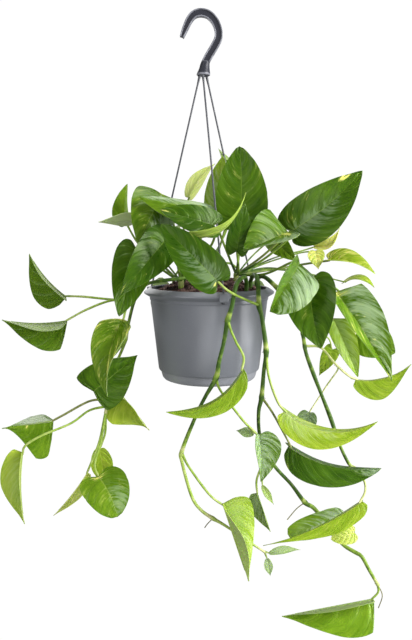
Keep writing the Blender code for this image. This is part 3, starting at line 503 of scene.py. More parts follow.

# Hook
# A moulded charcoal hook with a flanged bar section, so each side shows a dark sunk web between two ribs. The
# ribs and the lip of the collar are painted paler in patches, a painted highlight. It runs down into a flared
# collar whose underside holds the three strands.
HOOK_LINE = (
    # x, z and half the width
    (-21.2, -21.6, 2.4), (-17.6, -13.0, 3.3), (-13.2, -4.0, 3.8), (-8.6, 1.6, 4.0), (-3.5, 3.9, 4.2),
    (2.3, 4.1, 4.3), (8.6, 2.0, 4.3), (13.7, -2.7, 4.3), (17.5, -9.2, 4.3), (19.4, -16.9, 4.4),
    (18.6, -23.6, 4.4), (14.8, -31.0, 4.3), (8.4, -41.4, 4.3), (4.4, -49.0, 4.3), (2.8, -54.0, 4.6),
)
HOOK_HALF_DEPTH = 3.2
HOOK_GROOVE = 1.3
HOOK_RIB = 1.3
HOOK_DRAFT = 0.3
HOOK_ROUNDING = 0.45
HOOK_STEP = 1.6
HOOK_CHARCOAL = (0.018, 0.019, 0.028)
HOOK_DUST = (0.12, 0.12, 0.13)
# Paler grey painted on the ribs and the collar's lip as a painted highlight
HOOK_PAINTED_HIGHLIGHT = (0.300, 0.305, 0.345, 1.0)
COLLAR_X = 2.6
COLLAR_LEAN = 0.18
COLLAR_STEPS = 64
COLLAR_ROUNDING = 0.35
COLLAR_TOP_Z = -47.0
# Below this height the collar's lip takes the painted highlight
COLLAR_HIGHLIGHT_Z = -60.0
COLLAR_LIP_Z = -60.2
COLLAR_OUTLINE = (
    (0.4, -46.6), (4.0, -46.6), (4.8, -47.6), (5.2, -51.0), (6.2, -55.6), (7.4, -59.4), (7.6, COLLAR_LIP_Z),
    (7.6, -61.4), (7.0, -62.0), (6.4, -62.0), (5.9, -61.2), (0.4, -61.2),
)


def on_curve(a, b, c, d, t):
    """A point of the smooth curve from b (t is 0) to c (t is 1). a and d are the points before and after."""
    return 0.5 * (2 * b + (c - a) * t + (2 * a - 5 * b + 4 * c - d) * t * t
                  + (3 * b - a - 3 * c + d) * t ** 3)


def smooth_route(points, step):
    """Points about a step apart on a smooth curve through the given ones. Extra values follow along."""
    values = [Vector(point) for point in points]
    values = [2 * values[0] - values[1], *values, 2 * values[-1] - values[-2]]
    route = []
    for a, b, c, d in zip(values, values[1:], values[2:], values[3:]):
        count = max(1, round(math.dist(b[:3], c[:3]) / step))
        route += [on_curve(a, b, c, d, i / count) for i in range(count)]
    route.append(values[-2])
    return route


def attribute(tree, name):
    node = add_node(tree, "Attribute")
    node.attribute_name = name
    return Output(node, "Fac")


arm_line = smooth_route([(x, 0.0, z, half) for x, z, half in HOOK_LINE], HOOK_STEP)
arm_shape = bmesh.new()
arm_rings = []
for i, point in enumerate(arm_line):
    ahead = arm_line[min(i + 1, len(arm_line) - 1)] - arm_line[max(i - 1, 0)]
    along = Vector((ahead[0], 0, ahead[2])).normalized()
    across = Vector((-along.z, 0, along.x))
    half, depth = point[3], HOOK_HALF_DEPTH
    inner = half - HOOK_RIB
    foot, web = inner - HOOK_DRAFT, depth - HOOK_GROOVE
    section = (
        (half, -depth), (half, depth), (inner, depth), (foot, web), (-foot, web), (-inner, depth),
        (-half, depth), (-half, -depth), (-inner, -depth), (-foot, -web), (foot, -web), (inner, -depth),
    )
    centre = Vector((point[0], 0, point[2]))
    arm_rings.append([arm_shape.verts.new((centre + across * u + Vector((0, v, 0))) * MM)
                      for u, v in section])
for near, far in zip(arm_rings, arm_rings[1:]):
    for i in range(len(near)):
        j = (i + 1) % len(near)
        arm_shape.faces.new((near[i], near[j], far[j], far[i]))
arm_shape.faces.new(arm_rings[0][::-1])
arm_shape.faces.new(arm_rings[-1])
hook_arm = object_from(arm_shape, "hook_arm")
seal(hook_arm)
round_edges(hook_arm, HOOK_ROUNDING, 3)
hook_collar = turn_outline("hook_collar", COLLAR_OUTLINE, COLLAR_STEPS, COLLAR_X)
seal(hook_collar)
round_edges(hook_collar, COLLAR_ROUNDING, 2)
for vertex in hook_collar.data.vertices:
    vertex.co.x += COLLAR_LEAN * max(0.0, vertex.co.z - COLLAR_LIP_Z * MM)
hook_piece = join([hook_arm, hook_collar], "moulded_hook")
smooth(30.0)
# Marks the ribs and the lip of the collar for the painted highlight
painted_highlight = hook_piece.data.attributes.new("painted_highlight", "FLOAT", "POINT")
for vertex in hook_piece.data.vertices:
    on_rib = abs(vertex.co.y) > (HOOK_HALF_DEPTH - HOOK_ROUNDING) * MM and vertex.co.z > COLLAR_TOP_Z * MM
    on_lip = vertex.co.z < COLLAR_HIGHLIGHT_Z * MM
    painted_highlight.data[vertex.index].value = 1.0 if on_rib or on_lip else 0.0
hook_finish = plastic_finish("charcoal_plastic", HOOK_CHARCOAL, HOOK_DUST, dust_amount=0.12,
                             grain_depth=0.03)
skin = hook_finish.node_tree.nodes["Principled BSDF"]
plain = Output(skin.inputs["Base Color"].links[0].from_node, "Color")
patchy = noise_map(Output(add_node(hook_finish.node_tree, "TexCoord"), "Object"), 170.0, 3.0)
# Painted highlight: the marked ribs and lip turn paler grey in patches
highlight_share = attribute(hook_finish.node_tree, "painted_highlight") * patchy
feed(skin, Base_Color=blend(highlight_share, plain, HOOK_PAINTED_HIGHLIGHT), Specular_IOR_Level=0.3)
finish_piece(hook_piece, "hook", hook_finish)

# Strands
# Three round plastic strands. Each comes out of the collar through a short sleeve, runs taut to its eye in
# the rim, and ends under it in a button that can't pull through.
COLLAR_END_Z = -62.0
POCKET_CIRCLE = 4.6
POCKET_TURNS = {"front": -6.0, "right": 128.0, "left": -108.0}
STRAND_RADIUS = 1.0
SLEEVE_RADIUS = 1.6
BUTTON_RADIUS = 2.4
STRAND_SIDES = 16
STRAND_CHARCOAL = (0.040, 0.043, 0.053)
STRAND_DUST = (0.22, 0.22, 0.22)


def round_tube(name, points, sides):
    """A round, capped tube through points of (x, y, z, radius), as a mesh whose vertices run ring by ring."""
    curve = bpy.data.curves.new(name, "CURVE")
    curve.dimensions = "3D"
    curve.bevel_depth = MM
    curve.bevel_resolution = (sides - 4) // 2
    curve.use_fill_caps = True
    spline = curve.splines.new("POLY")
    spline.points.add(len(points) - 1)
    for target, (x, y, z, radius) in zip(spline.points, points):
        target.co = (x * MM, y * MM, z * MM, 1.0)
        target.radius = radius
    pick(new_object(name, curve))
    bpy.ops.object.convert(target="MESH")
    return bpy.context.active_object


strand_finish = plastic_finish("strand_plastic", STRAND_CHARCOAL, STRAND_DUST, dust_amount=0.15,
                               grain_depth=0.03)
eye_top_z, eye_end_z = EYE_BLOCK_Z + EYE_BLOCK[2] / 2, EYE_BLOCK_Z - EYE_BLOCK[2] / 2
for side, turn in EYE_TURNS.items():
    angle = math.radians(turn)
    pocket = math.radians(POCKET_TURNS[side])
    x, y = COLLAR_X + POCKET_CIRCLE * math.sin(pocket), -POCKET_CIRCLE * math.cos(pocket)
    end_x, end_y = POT_X + EYE_CIRCLE * math.sin(angle), -EYE_CIRCLE * math.cos(angle)
    # Share of the way out to the eye, height and radius
    strand = round_tube("strand_" + side + "_line", [
        (x + share * (end_x - x), y + share * (end_y - y), z, radius) for share, z, radius in (
            (0.0, COLLAR_END_Z + 4.0, SLEEVE_RADIUS), (0.0, COLLAR_END_Z - 0.5, SLEEVE_RADIUS),
            (0.010, COLLAR_END_Z - 3.0, SLEEVE_RADIUS - 0.2),
            (0.034, COLLAR_END_Z - 8.6, STRAND_RADIUS + 0.1),
            (0.038, COLLAR_END_Z - 9.4, STRAND_RADIUS), (0.97, eye_top_z + 7.0, STRAND_RADIUS),
            (1.0, eye_top_z + 1.0, STRAND_RADIUS), (1.0, eye_end_z, STRAND_RADIUS),
            (1.0, eye_end_z - 0.2, BUTTON_RADIUS), (1.0, eye_end_z - 1.6, BUTTON_RADIUS),
            (1.0, eye_end_z - 2.4, BUTTON_RADIUS - 0.7),
        )
    ], STRAND_SIDES)
    smooth(35.0)
    finish_piece(strand, "strand_" + side, strand_finish)

# Leaves
# Heart-shaped blades with a drip tip, glossy above and matt below, folded a little along the midrib. Each is
# a thin sheet whose rows run out along the side veins, and its petiole meets it at the notch of the heart.
LEAF_ROWS = 40
LEAF_COLUMNS = 30
SMALL_LEAF_ROWS = 18
SMALL_LEAF_COLUMNS = 12
SMALL_LEAF_RELIEF = 0.1
BLADE_THICKNESS = 0.5
BLADE_SMOOTHING = 50.0
SIDE_VEINS = 8
VEIN_SWEEP = 0.10
MARGIN_WAVE = 0.045
QUILTING = 0.020
MIDRIB_GROOVE = 0.35
MIDRIB_RADIUS = 0.95
MIDRIB_STEPS = 13
MIDRIB_END = 0.86
MIDRIB_SIDES = 8
USUAL_HALF_WIDTH = 26.0
UPPER_RELIEF = 0.60
UNDER_RELIEF = 0.20
VIEWER = (5.5, -761.4, -235.0)

# Half of a blade's outline: along the midrib, across in half widths, and where its vein leaves the midrib
BLADE_EDGE = (
    (0.00, 0.00, 0.00), (-0.06, 0.20, 0.00), (-0.13, 0.48, 0.01), (-0.09, 0.80, 0.03), (0.07, 0.99, 0.08),
    (0.30, 0.97, 0.22), (0.52, 0.76, 0.42), (0.72, 0.47, 0.62), (0.88, 0.18, 0.81), (1.00, 0.00, 1.00),
)

# Names of the leaves' tone groups, which each Leaf holds as its colour
DARK = "leaf_dark"
MID = "leaf_mid"
YOUNG = "leaf_young"
PALE = "leaf_pale"

# Deep and fresh greens of the tones 0, 1, 2 and 3: dark, middle, young and pale
TONES = (
    ((0.018, 0.062, 0.001), (0.048, 0.116, 0.002)),
    ((0.096, 0.196, 0.004), (0.180, 0.304, 0.012)),
    ((0.255, 0.370, 0.018), (0.405, 0.500, 0.048)),
    ((0.520, 0.600, 0.130), (0.800, 0.800, 0.340)),
)
SPLASH = (0.700, 0.690, 0.180)
VEIN = (0.280, 0.420, 0.050)
UNDERSIDE = (0.470, 0.540, 0.300)
# Painted sheen: a pale silvery green painted into a patch of some blades where their gloss would mirror the
# lamps
PAINTED_SHEEN = (0.400, 0.510, 0.330)
GLOSS_TINT = (0.85, 1.00, 0.60, 1.0)
LEAF_COLOURS = ("Deep", "Fresh", "Splash", "Vein", "Bloom")


@dataclass(frozen=True)
class Look:
    """How a leaf is coloured.

    tone picks its greens from TONES and splash says how much of it is splashed with cream, from 0 to 1.
    Places on a blade are given across it from its left (0) to its right (1), then from joint to tip. The
    splashes gather at spot, which ends with how far it reaches. bloom is a patch of painted sheen, a silvery
    highlight painted into the colour: its place, its reach across and along, and its strength. under says how
    grey the lower face is.
    """

    tone: float
    splash: float = 0.10
    spot: tuple = (0.5, 0.5, 0.001)
    painted_sheen: tuple = (0.5, 0.5, 0.001, 0.001, 0.0)
    under: float = 0.35


@dataclass
class Leaf:
    """A blade from its joint to its tip.

    turn is how far the upper face turns from the viewer towards the left of the blade's travel, in degrees,
    and fold how far each half rises from flat. arch and sway bow the midrib towards the viewer and to the
    viewer's left of its travel, as parts of the length. cup bends the margins down. full widens the outline
    near the tip, rake sweeps the halves forward, lobe scales the lobes behind the joint, and twist turns the
    blade more from joint to tip. The petiole runs from the stem through its points to the joint. stem is
    named only where it isn't that of the leaf's group. A fused leaf is part of its stem.
    """

    joint: tuple
    tip: tuple
    petiole: tuple
    half_width: float
    look: Look
    turn: float = 0.0
    fold: float = 8.0
    arch: float = 0.05
    sway: float = 0.0
    cup: float = 0.05
    full: float = 0.0
    rake: float = 0.0
    lobe: float = 1.0
    twist: float = 0.0
    colour: str = MID
    stem: str = ""
    fused: bool = False


GROWTH = (
    ("leaf_left_crown", "crown_left", (
        Leaf((-87, 14, -225), (-85, 12, -179), ((-22, -36, -290), (-45, -12, -270), (-72, 8, -248)), 14,
             Look(1.00), -36, -36, 0.0, 0.06, full=0.4, rake=0.1),
        Leaf((-78, -8, -221), (-114, -20, -223), ((-22, -36, -288), (-42, -20, -265), (-66, -8, -240)), 14,
             Look(1.50, 0.05, under=0.85), -120, 10, 0.06),
        Leaf((-44, -10, -192), (-68, -48, -246), ((-22, -36, -286), (-26, -6, -250), (-36, 2, -210)), 29,
             Look(0.42, 0.14, (0.5, 0.05, 0.34), (0.1, 0.65, 0.5, 0.5, 0.7)), 0, -8, 0.12, cup=0.12, full=0.3,
             lobe=0.5, colour=YOUNG),
        Leaf((7, -24, -212), (-66, -42, -197), ((-22, -36, -288), (-8, -20, -255), (6, -16, -228)), 22,
             Look(0.55, 0.08, (0.3, 0.2, 0.2), (0.90, 0.45, 0.5, 0.8, 1.0)), -45, -20, full=0.3),
        Leaf((14, -58, -227), (-42, -66, -211), ((-22, -36, -290), (-2, -34, -268), (14, -44, -242)), 18,
             Look(0.00, 0.12, (0.5, 0.98, 0.20)), -30, 10, 0.08, full=0.4, colour=YOUNG),
        Leaf((-18, -88, -237), (46, -80, -194), ((-22, -36, -289), (-18, -50, -272), (-15, -74, -252)), 10,
             Look(1.70, 0.05, under=0.15), 110, 10, 0.0, -0.22, rake=0.15, colour=YOUNG),
        Leaf((-68, -46, -254), (-85, -80, -321), ((-22, -36, -289), (-42, -38, -275), (-62, -38, -261)), 23,
             Look(0.10, 0.02), 0, 10, 0.06, full=0.4, colour=DARK),
        Leaf((-36, -66, -241), (-81, -96, -297), ((-22, -36, -291), (-26, -46, -266), (-32, -56, -248)), 21,
             Look(0.00, 0.06, (0.8, 0.95, 0.12)), 0, 12, 0.10, full=0.2),
        Leaf((17, -98, -283), (-40, -90, -226), ((62, -66, -311), (46, -84, -303), (28, -96, -293)), 21,
             Look(0.00, 0.06, (0.3, 0.25, 0.12), (0.45, 0.45, 0.4, 0.4, 0.35)), 0, 12, 0.06, full=0.5,
             rake=0.08, colour=DARK, stem="vine_middle"),
    )),
    ("leaf_top", "crown_right", (
        Leaf((-15, 22, -194), (16, 14, -156), ((-22, -36, -287), (-20, -2, -250), (-20, 20, -212)), 10,
             Look(2.90, 0.25, under=0.25), 150, 10, 0.05, 0.08, rake=0.2, colour=PALE, stem="crown_left"),
        Leaf((21, 4, -218), (25, 8, -148), ((40, -14, -282), (29, 0, -255), (20, 6, -230)), 17,
             Look(1.30, 0.10, painted_sheen=(0.35, 0.45, 0.5, 0.6, 0.4)), 5, 8, 0.04, 0.04, full=0.4),
        Leaf((44, -14, -223), (43, -4, -139), ((40, -14, -282), (43, -12, -255), (44, -10, -235)), 30,
             Look(0.10, 0.05), 0, 10, 0.05, -0.02, full=0.65, rake=0.05, colour=DARK),
        Leaf((38, -56, -254), (47, -50, -204), ((40, -14, -282), (41, -34, -278), (40, -50, -266)), 13,
             Look(0.00, 0.05), 0, 5, full=0.3, rake=0.05, colour=DARK),
    )),
    ("leaf_right_crown", "crown_right", (
        Leaf((94, -38, -234), (45, -68, -254), ((40, -14, -282), (70, -22, -264), (96, -32, -241)), 32,
             Look(0.22, 0.08, (0.4, 0.5, 0.2), (0.05, 0.5, 0.3, 0.6, 0.6)), -42, 36, 0.08, full=0.5,
             rake=0.15, lobe=0.0),
        Leaf((100, -22, -233), (173, -40, -169), ((40, -14, -282), (68, -12, -262), (92, -16, -240)), 29,
             Look(0.08, 0.10, (0.10, 0.84, 0.09), (0.55, 0.55, 0.3, 0.3, 0.3)), -5, 12, 0.06, -0.04,
             full=0.35, rake=0.12, colour=DARK),
        Leaf((82, 6, -242), (110, -4, -268), ((40, -14, -282), (56, 0, -264), (74, 8, -248)), 12,
             Look(0.70, 0.02), colour=DARK),
        Leaf((104, -62, -267), (71, -90, -315), ((40, -14, -282), (70, -32, -280), (98, -52, -266)), 33,
             Look(0.25, 0.04, painted_sheen=(0.12, 0.48, 0.50, 0.75, 0.65)), 40, 38, 0.08, full=1.4, rake=0.16,
             lobe=0.2),
        Leaf((118, -46, -285), (129, -62, -358), ((84, -42, -295), (102, -32, -288)), 28,
             Look(0.08, 0.06, (0.5, 0.45, 0.16)), 0, 12, 0.05, -0.04, full=0.4, rake=0.08, colour=DARK,
             stem="vine_right"),
        Leaf((134, 18, -256), (137, 12, -277), ((40, -14, -282), (80, 8, -268), (118, 22, -258)), 10,
             Look(2.40, 0.60), 10, rake=0.1, colour=PALE),
        Leaf((136, 30, -251), (162, 20, -229), ((40, -14, -282), (85, 14, -264), (120, 30, -256)), 8,
             Look(3.00, 0.95, (0.5, 0.5, 0.8), under=0.0), 30, 30, 0.15, -0.22, rake=0.1, colour=PALE),
        Leaf((149, 14, -266), (201, 2, -282), ((40, -14, -282), (92, 12, -276), (128, 28, -271)), 14,
             Look(2.00, 0.40, (0.5, 0.1, 0.4)), 42, 45, 0.05, 0.10, full=0.3, rake=0.1, colour=YOUNG),
        Leaf((168, 8, -291), (198, -8, -297), ((40, -14, -282), (84, 6, -277), (134, 8, -284)), 9,
             Look(1.70, 0.30, (0.5, 0.3, 0.3)), 65, 10, 0.0, 0.22, full=0.3, rake=0.1, colour=YOUNG),
        Leaf((152, -20, -301), (210, -50, -396), ((84, -42, -295), (108, -24, -286), (138, -18, -294)), 32,
             Look(0.50, 0.25, (0.62, 0.18, 0.30), (0.25, 0.62, 0.36, 0.55, 0.75)), 40, 38, 0.0, 0.02,
             rake=0.06, lobe=0.0, full=0.2, stem="vine_right"),
        Leaf((188, 20, -352), (231, 14, -377), ((40, -14, -282), (80, 14, -276), (130, 20, -286),
             (170, 30, -309)), 24, Look(0.70, 0.10), full=0.5, rake=0.05, lobe=0.5),
        Leaf((154, 4, -334), (182, -10, -401), ((113, -37, -346), (124, -16, -334), (142, 2, -330)), 17,
             Look(1.30, 0.06, painted_sheen=(0.4, 0.5, 0.5, 0.8, 0.25), under=0.1), 24, 26, 0.05, 0.01, full=0.3,
             rake=0.1, lobe=0.0, colour=YOUNG, stem="vine_right"),
        Leaf((180, -8, -404), (242, -14, -385), ((117, -35, -360), (134, -36, -362), (154, -22, -384),
             (171, -12, -399)), 22, Look(1.45, 0.08), 45, -42, 0.0, -0.12, rake=0.10, full=-0.1, colour=YOUNG,
             stem="vine_right"),
    )),
    ("small_leaf_right", "vine_right", (
        Leaf((158, 22, -374), (142, 20, -406), ((113, -37, -346), (132, 0, -352), (152, 20, -360)), 10,
             Look(1.35, 0.05), 0, 10),
        Leaf((126, -10, -443), (118, -10, -473), ((154, -22, -384), (157, -16, -391), (146, -8, -412)), 12,
             Look(0.40, 0.02, painted_sheen=(0.5, 0.5, 1.5, 1.5, 0.65)), 0, 10, rake=0.15),
    )),
    ("leaf_left_vine", "vine_left", (
        Leaf((-154, -14, -308), (-191, -24, -258), ((-78, -15, -311), (-104, -12, -310), (-134, -12, -307)),
             25, Look(0.48, 0.02), 48, 50, 0.0, 0.06, full=0.1, rake=0.04, lobe=0.4),
        Leaf((-149, -34, -333), (-217, -48, -329), ((-78, -15, -311), (-102, -16, -311), (-128, -25, -320)),
             32, Look(0.40, 0.02, painted_sheen=(1.0, 0.5, 0.40, 0.8, 0.35)), 50, 54, 0.0, 0.05, full=-0.1, rake=0.10,
             lobe=0.1),
        Leaf((-85, -49, -328), (-101, -66, -410), ((-68, -22, -298), (-76, -32, -306), (-82, -41, -317)), 24,
             Look(0.60, 0.35, (0.45, 0.06, 0.34)), -40, 36, 0.06, -0.08, full=0.2, rake=0.1, lobe=0.2,
             twist=-40, colour=YOUNG),
        Leaf((-120, -42, -410), (-71, -37, -370), ((-86, -18, -355), (-96, -22, -369), (-112, -28, -388)), 29,
             Look(0.10, 0.02), -16, 15, 0.06, rake=-0.03, lobe=0.3, colour=DARK),
        Leaf((-94, -12, -422), (-61, -12, -464), ((-104, -25, -407), (-99, -17, -413)), 29, Look(2.00, 0.04),
             -45, 45, full=-0.4, rake=0.12, lobe=0.3, colour=YOUNG),
        Leaf((-171, -20, -450), (-225, -38, -454), ((-107, -25, -424), (-128, -24, -426), (-159, -22, -443)),
             40, Look(0.75, 0.04, painted_sheen=(0.9, 0.6, 0.40, 0.7, 0.45)), -36, -38, 0.0, full=-0.45, rake=0.20,
             lobe=0.2),
        Leaf((-200, -50, -478), (-199, -54, -560), ((-109, -24, -432), (-128, -28, -436), (-147, -38, -448),
             (-177, -52, -458), (-195, -54, -469)), 22, Look(1.90, 0.06, painted_sheen=(0.5, 0.7, 0.5, 0.5, 0.2)),
             -48, 46, 0.0, -0.04, rake=0.15, colour=YOUNG),
        Leaf((-120, -10, -487), (-114, -8, -536), ((-110, -24, -440), (-112, -16, -466)), 13,
             Look(1.60, 0.15), 0, 10, rake=0.25, colour=YOUNG),
        Leaf((-115, -50, -506), (-93, -62, -548), ((-110, -24, -440), (-114, -34, -470), (-120, -44, -494)),
             26, Look(0.80, 0.22, (0.5, 0.28, 0.20), (0.25, 0.80, 0.4, 0.35, 0.4)), 0, 6, 0.12, 0.05,
             full=1.2, rake=0.05, colour=YOUNG),
        Leaf((-131, -28, -510), (-172, -30, -561), ((-110, -24, -440), (-117, -28, -472), (-127, -29, -498)),
             10, Look(2.60, 0.05, under=0.2), 45, 45, 0.0, 0.03, rake=0.25, colour=YOUNG),
    )),
    ("leaf_front_vine", "vine_front", (
        Leaf((44, -99, -373), (-35, -110, -415), ((28, -87, -324), (31, -92, -334), (37, -95, -347),
             (44, -97, -361)), 15, Look(1.30, 0.06), -36, -40, 0.0, 0.17, twist=20, full=0.4, rake=0.08,
             lobe=0.3, colour=YOUNG),
        Leaf((62, -80, -448), (64, -86, -498), ((16, -86, -385), (21, -86, -399), (44, -82, -431),
             (55, -79, -443)), 22, Look(0.45, 0.02, painted_sheen=(0.6, 0.5, 0.9, 0.9, 0.75)), 40, 40, 0.0, 0.03,
             full=0.3, rake=0.12),
        Leaf((25, -72, -528), (52, -86, -611), ((-20, -82, -468), (-13, -79, -484), (9, -74, -517)), 31,
             Look(1.70, 0.05, painted_sheen=(0.4, 0.5, 0.8, 0.9, 0.25)), 68, 46, 0.0, twist=50, rake=0.05, lobe=0.4,
             colour=YOUNG),
    )),
    ("small_leaf_front", "vine_front", (
        Leaf((57, -76, -448), (38, -72, -446), ((52, -80, -440),), 5.5,
             Look(1.20, 0.02, painted_sheen=(0.5, 0.5, 1.5, 1.5, 0.80)), 0, 10, rake=0.3),
        Leaf((76, -64, -590), (111, -64, -586), ((71, -62, -589),), 4.5,
             Look(1.40, 0.02, painted_sheen=(0.5, 0.5, 1.5, 1.5, 0.90)), 0, 10, 0.05, 0.06, rake=0.3),
        Leaf((74, -62, -597), (78, -62, -618), ((71, -62, -589),), 5,
             Look(1.40, 0.02, painted_sheen=(0.5, 0.5, 1.5, 1.5, 1.00)), 0, 10, rake=0.3),
    )),
    ("leaf_middle_vine", "vine_middle", (
        Leaf((90, -66, -427), (189, -76, -435), ((70, -64, -361), (73, -66, -388), (83, -66, -416)), 21,
             Look(1.75, 0.03, painted_sheen=(0.4, 0.4, 0.6, 0.6, 0.35), under=0.5), 42, -32, 0.0, -0.17, lobe=0.5,
             full=0.2, colour=YOUNG),
        Leaf((99, -40, -474), (203, -46, -498), ((66, -60, -412), (78, -54, -430), (92, -44, -456)), 26,
             Look(0.00, 0.02, painted_sheen=(0.5, 1.0, 0.9, 0.18, 0.6)), 42, -38, 0.0, -0.10, full=0.6, rake=0.10,
             lobe=0.6, colour=DARK),
        Leaf((63, -42, -529), (79, -46, -573), ((69, -57, -472), (68, -46, -494), (63, -41, -514)), 14,
             Look(1.10, 0.02, painted_sheen=(0.5, 0.5, 0.9, 0.9, 0.55)), -45, 45, 0.0, rake=0.2),
    )),
    ("small_leaf_middle", "vine_middle", (
        Leaf((69, -46, -518), (82, -50, -539), ((68, -45, -500),), 4,
             Look(1.60, 0.02, painted_sheen=(0.5, 0.5, 1.5, 1.5, 0.50)), 0, 10, rake=0.3),
    )),
    ("leaf_middle_vine", "vine_middle", (
        Leaf((169, -21, -568), (102, -21, -588), ((142, -12, -571), (156, -12, -570)), 16,
             Look(0.95, 0.05, painted_sheen=(0.5, 0.35, 0.9, 0.60, 1.00)), 22, 0, 0.0, full=2.6, rake=0.10, lobe=0.5),
    )),
    ("small_leaf_middle", "vine_middle", (
        Leaf((179, -30, -582), (151, -32, -589), ((159, -13, -592), (170, -18, -585)), 11, Look(2.40, 0.04),
             full=0.8, rake=0.1),
    )),
    ("leaf_middle_vine", "vine_middle", (
        Leaf((204, -30, -666), (94, -44, -678), ((208, -30, -646), (209, -30, -656)), 36,
             Look(0.95, 0.05, (0.6, 0.15, 0.10), (1.0, 0.30, 0.55, 0.65, 1.0)), 48, 50, 0.0, rake=0.10,
             lobe=0.1, colour=YOUNG),
    )),
    ("leaf_right_vine", "vine_right", (
        Leaf((185, -36, -541), (70, -56, -585), ((178, -25, -505), (188, -28, -518), (189, -33, -530)), 15,
             Look(1.55, 0.12), -45, -40, 0.0, 0.05, full=-0.35, rake=0.05, lobe=0.4, colour=YOUNG),
    )),
    ("small_leaf_back", "crown_back", (
        Leaf((46, 40, -172), (20, 38, -136), ((4, 28, -279), (28, 52, -238), (42, 48, -196)), 9, Look(0.40),
             150, 10),
        Leaf((20, 88, -302), (12, 98, -372), ((4, 28, -279), (8, 50, -272), (16, 74, -284)), 27, Look(0.40),
             180, 10, 0.10),
        Leaf((58, 76, -304), (64, 86, -372), ((4, 28, -279), (34, 56, -272), (52, 70, -289)), 24, Look(0.40),
             170, 10, 0.10),
        Leaf((-38, 74, -302), (-44, 86, -376), ((4, 28, -279), (-18, 54, -272), (-33, 68, -288)), 26,
             Look(0.40), 190, 10, 0.10),
        Leaf((-34, 40, -240), (-66, 72, -262), ((4, 28, -279), (-12, 32, -262)), 22, Look(0.40), 120, 8,
             0.10),
        Leaf((34, 38, -212), (42, 62, -162), ((4, 28, -279), (18, 36, -262), (28, 40, -232)), 19, Look(0.40),
             180, 8, 0.08),
    )),
)

LEAVES = {}
for group, stem, leaves in GROWTH:
    for leaf in leaves:
        number = 1 + sum(name.startswith(group) for name in LEAVES)
        leaf.stem = leaf.stem or stem
        leaf.fused = group.startswith("small")
        LEAVES[f"{group}_{number}"] = leaf


def blade_axes(leaf):
    """Joint, length, travel and the blade's own left and upper directions, then the viewer's."""
    joint = Vector(leaf.joint)
    chord = Vector(leaf.tip) - joint
    length = chord.length
    along = chord / length
    front = (Vector(VIEWER) - joint).normalized()
    facing = (front - along * front.dot(along)).normalized()
    left = facing.cross(along)
    angle = math.radians(leaf.turn)
    up = facing * math.cos(angle) + left * math.sin(angle)
    return joint, length, along, up.cross(along), up, left, facing


def edge_at(leaf, t):
    """The blade's outline at t from the joint (0) to the tip (1), on a smooth curve through BLADE_EDGE."""
    last = len(BLADE_EDGE) - 1
    spot = min(t * last, last - 1e-9)
    i = int(spot)
    b, c = Vector(BLADE_EDGE[i]), Vector(BLADE_EDGE[i + 1])
    a = Vector(BLADE_EDGE[i - 1]) if i else 2 * b - c
    d = Vector(BLADE_EDGE[i + 2]) if i + 2 <= last else 2 * c - b
    along, across, foot = on_curve(a, b, c, d, spot - i)
    if along < 0:
        along *= leaf.lobe
    if along > 0.3:
        across = max(across, 0.0) ** (1.0 / (1.0 + leaf.full))
    return along + leaf.rake * across * (1.0 - along), across, foot


def blade_point(leaf, axes, along, across, raised=0.0):
    """A point of the blade's middle surface, raised towards its upper side, in millimetres."""
    joint, length, forward, left, up, view_left, view_front = axes
    fold = math.radians(leaf.fold)
    turn = math.radians(leaf.twist) * (along - 0.5)
    left, up = left * math.cos(turn) - up * math.sin(turn), up * math.cos(turn) + left * math.sin(turn)
    bow = 4.0 * length * (along if along < 0 else along * (1 - along))
    side = across * leaf.half_width
    lift = abs(side) * math.sin(fold) - leaf.cup * leaf.half_width * across ** 2 + raised
    return (joint + forward * along * length + left * side * math.cos(fold) + up * lift
            + view_left * leaf.sway * bow + view_front * leaf.arch * bow)


def relief_of(leaf, q, t, seed):
    """Wave of the margin, quilting between the side veins and the groove of the midrib, in millimetres."""
    side = 1.0 if q > 0 else 2.6
    wave = MARGIN_WAVE * abs(q) ** 2.5 * math.sin(math.pi * t) * math.sin(
        2 * math.pi * (1.7 * t + side + seed))
    quilt = -QUILTING * 4 * abs(q) * (1 - abs(q)) * math.cos(
        2 * math.pi * (SIDE_VEINS * (t - VEIN_SWEEP * q * q) + math.copysign(0.25, q)))
    groove = MIDRIB_GROOVE * math.exp(-(q * leaf.half_width / 1.4) ** 2) * (1 - 0.7 * t)
    return (wave + quilt) * leaf.half_width * (SMALL_LEAF_RELIEF if leaf.fused else 1.0) - groove


def smooth_blade(name, leaf, axes, seed):
    """The sheet with its thickness, whose rows keep the grid's UV places for the pattern."""
    bpy.ops.object.select_all(action="DESELECT")
    bpy.ops.mesh.primitive_grid_add(x_subdivisions=SMALL_LEAF_COLUMNS if leaf.fused else LEAF_COLUMNS,
                                    y_subdivisions=SMALL_LEAF_ROWS if leaf.fused else LEAF_ROWS, size=1.0)
    sheet = bpy.context.active_object
    sheet.name = name
    edges = {}
    for vertex in sheet.data.vertices:
        t = round(vertex.co.y + 0.5, 6)
        if t not in edges:
            edges[t] = edge_at(leaf, t)
        edge_along, edge_across, foot = edges[t]
        q = -2.0 * vertex.co.x
        along = foot + (edge_along - foot) * abs(q) ** 1.2
        vertex.co = blade_point(leaf, axes, along, edge_across * q, relief_of(leaf, q, t, seed)) * MM
    bpy.ops.object.mode_set(mode="EDIT")
    bpy.ops.mesh.select_all(action="SELECT")
    bpy.ops.mesh.remove_doubles(threshold=0.000002)
    bpy.ops.object.mode_set(mode="OBJECT")
    thicken = sheet.modifiers.new("Thickness", "SOLIDIFY")
    thicken.thickness = BLADE_THICKNESS * MM
    thicken.offset = 0.0
    thicken.material_offset = 1
    thicken.material_offset_rim = 1
    return sheet


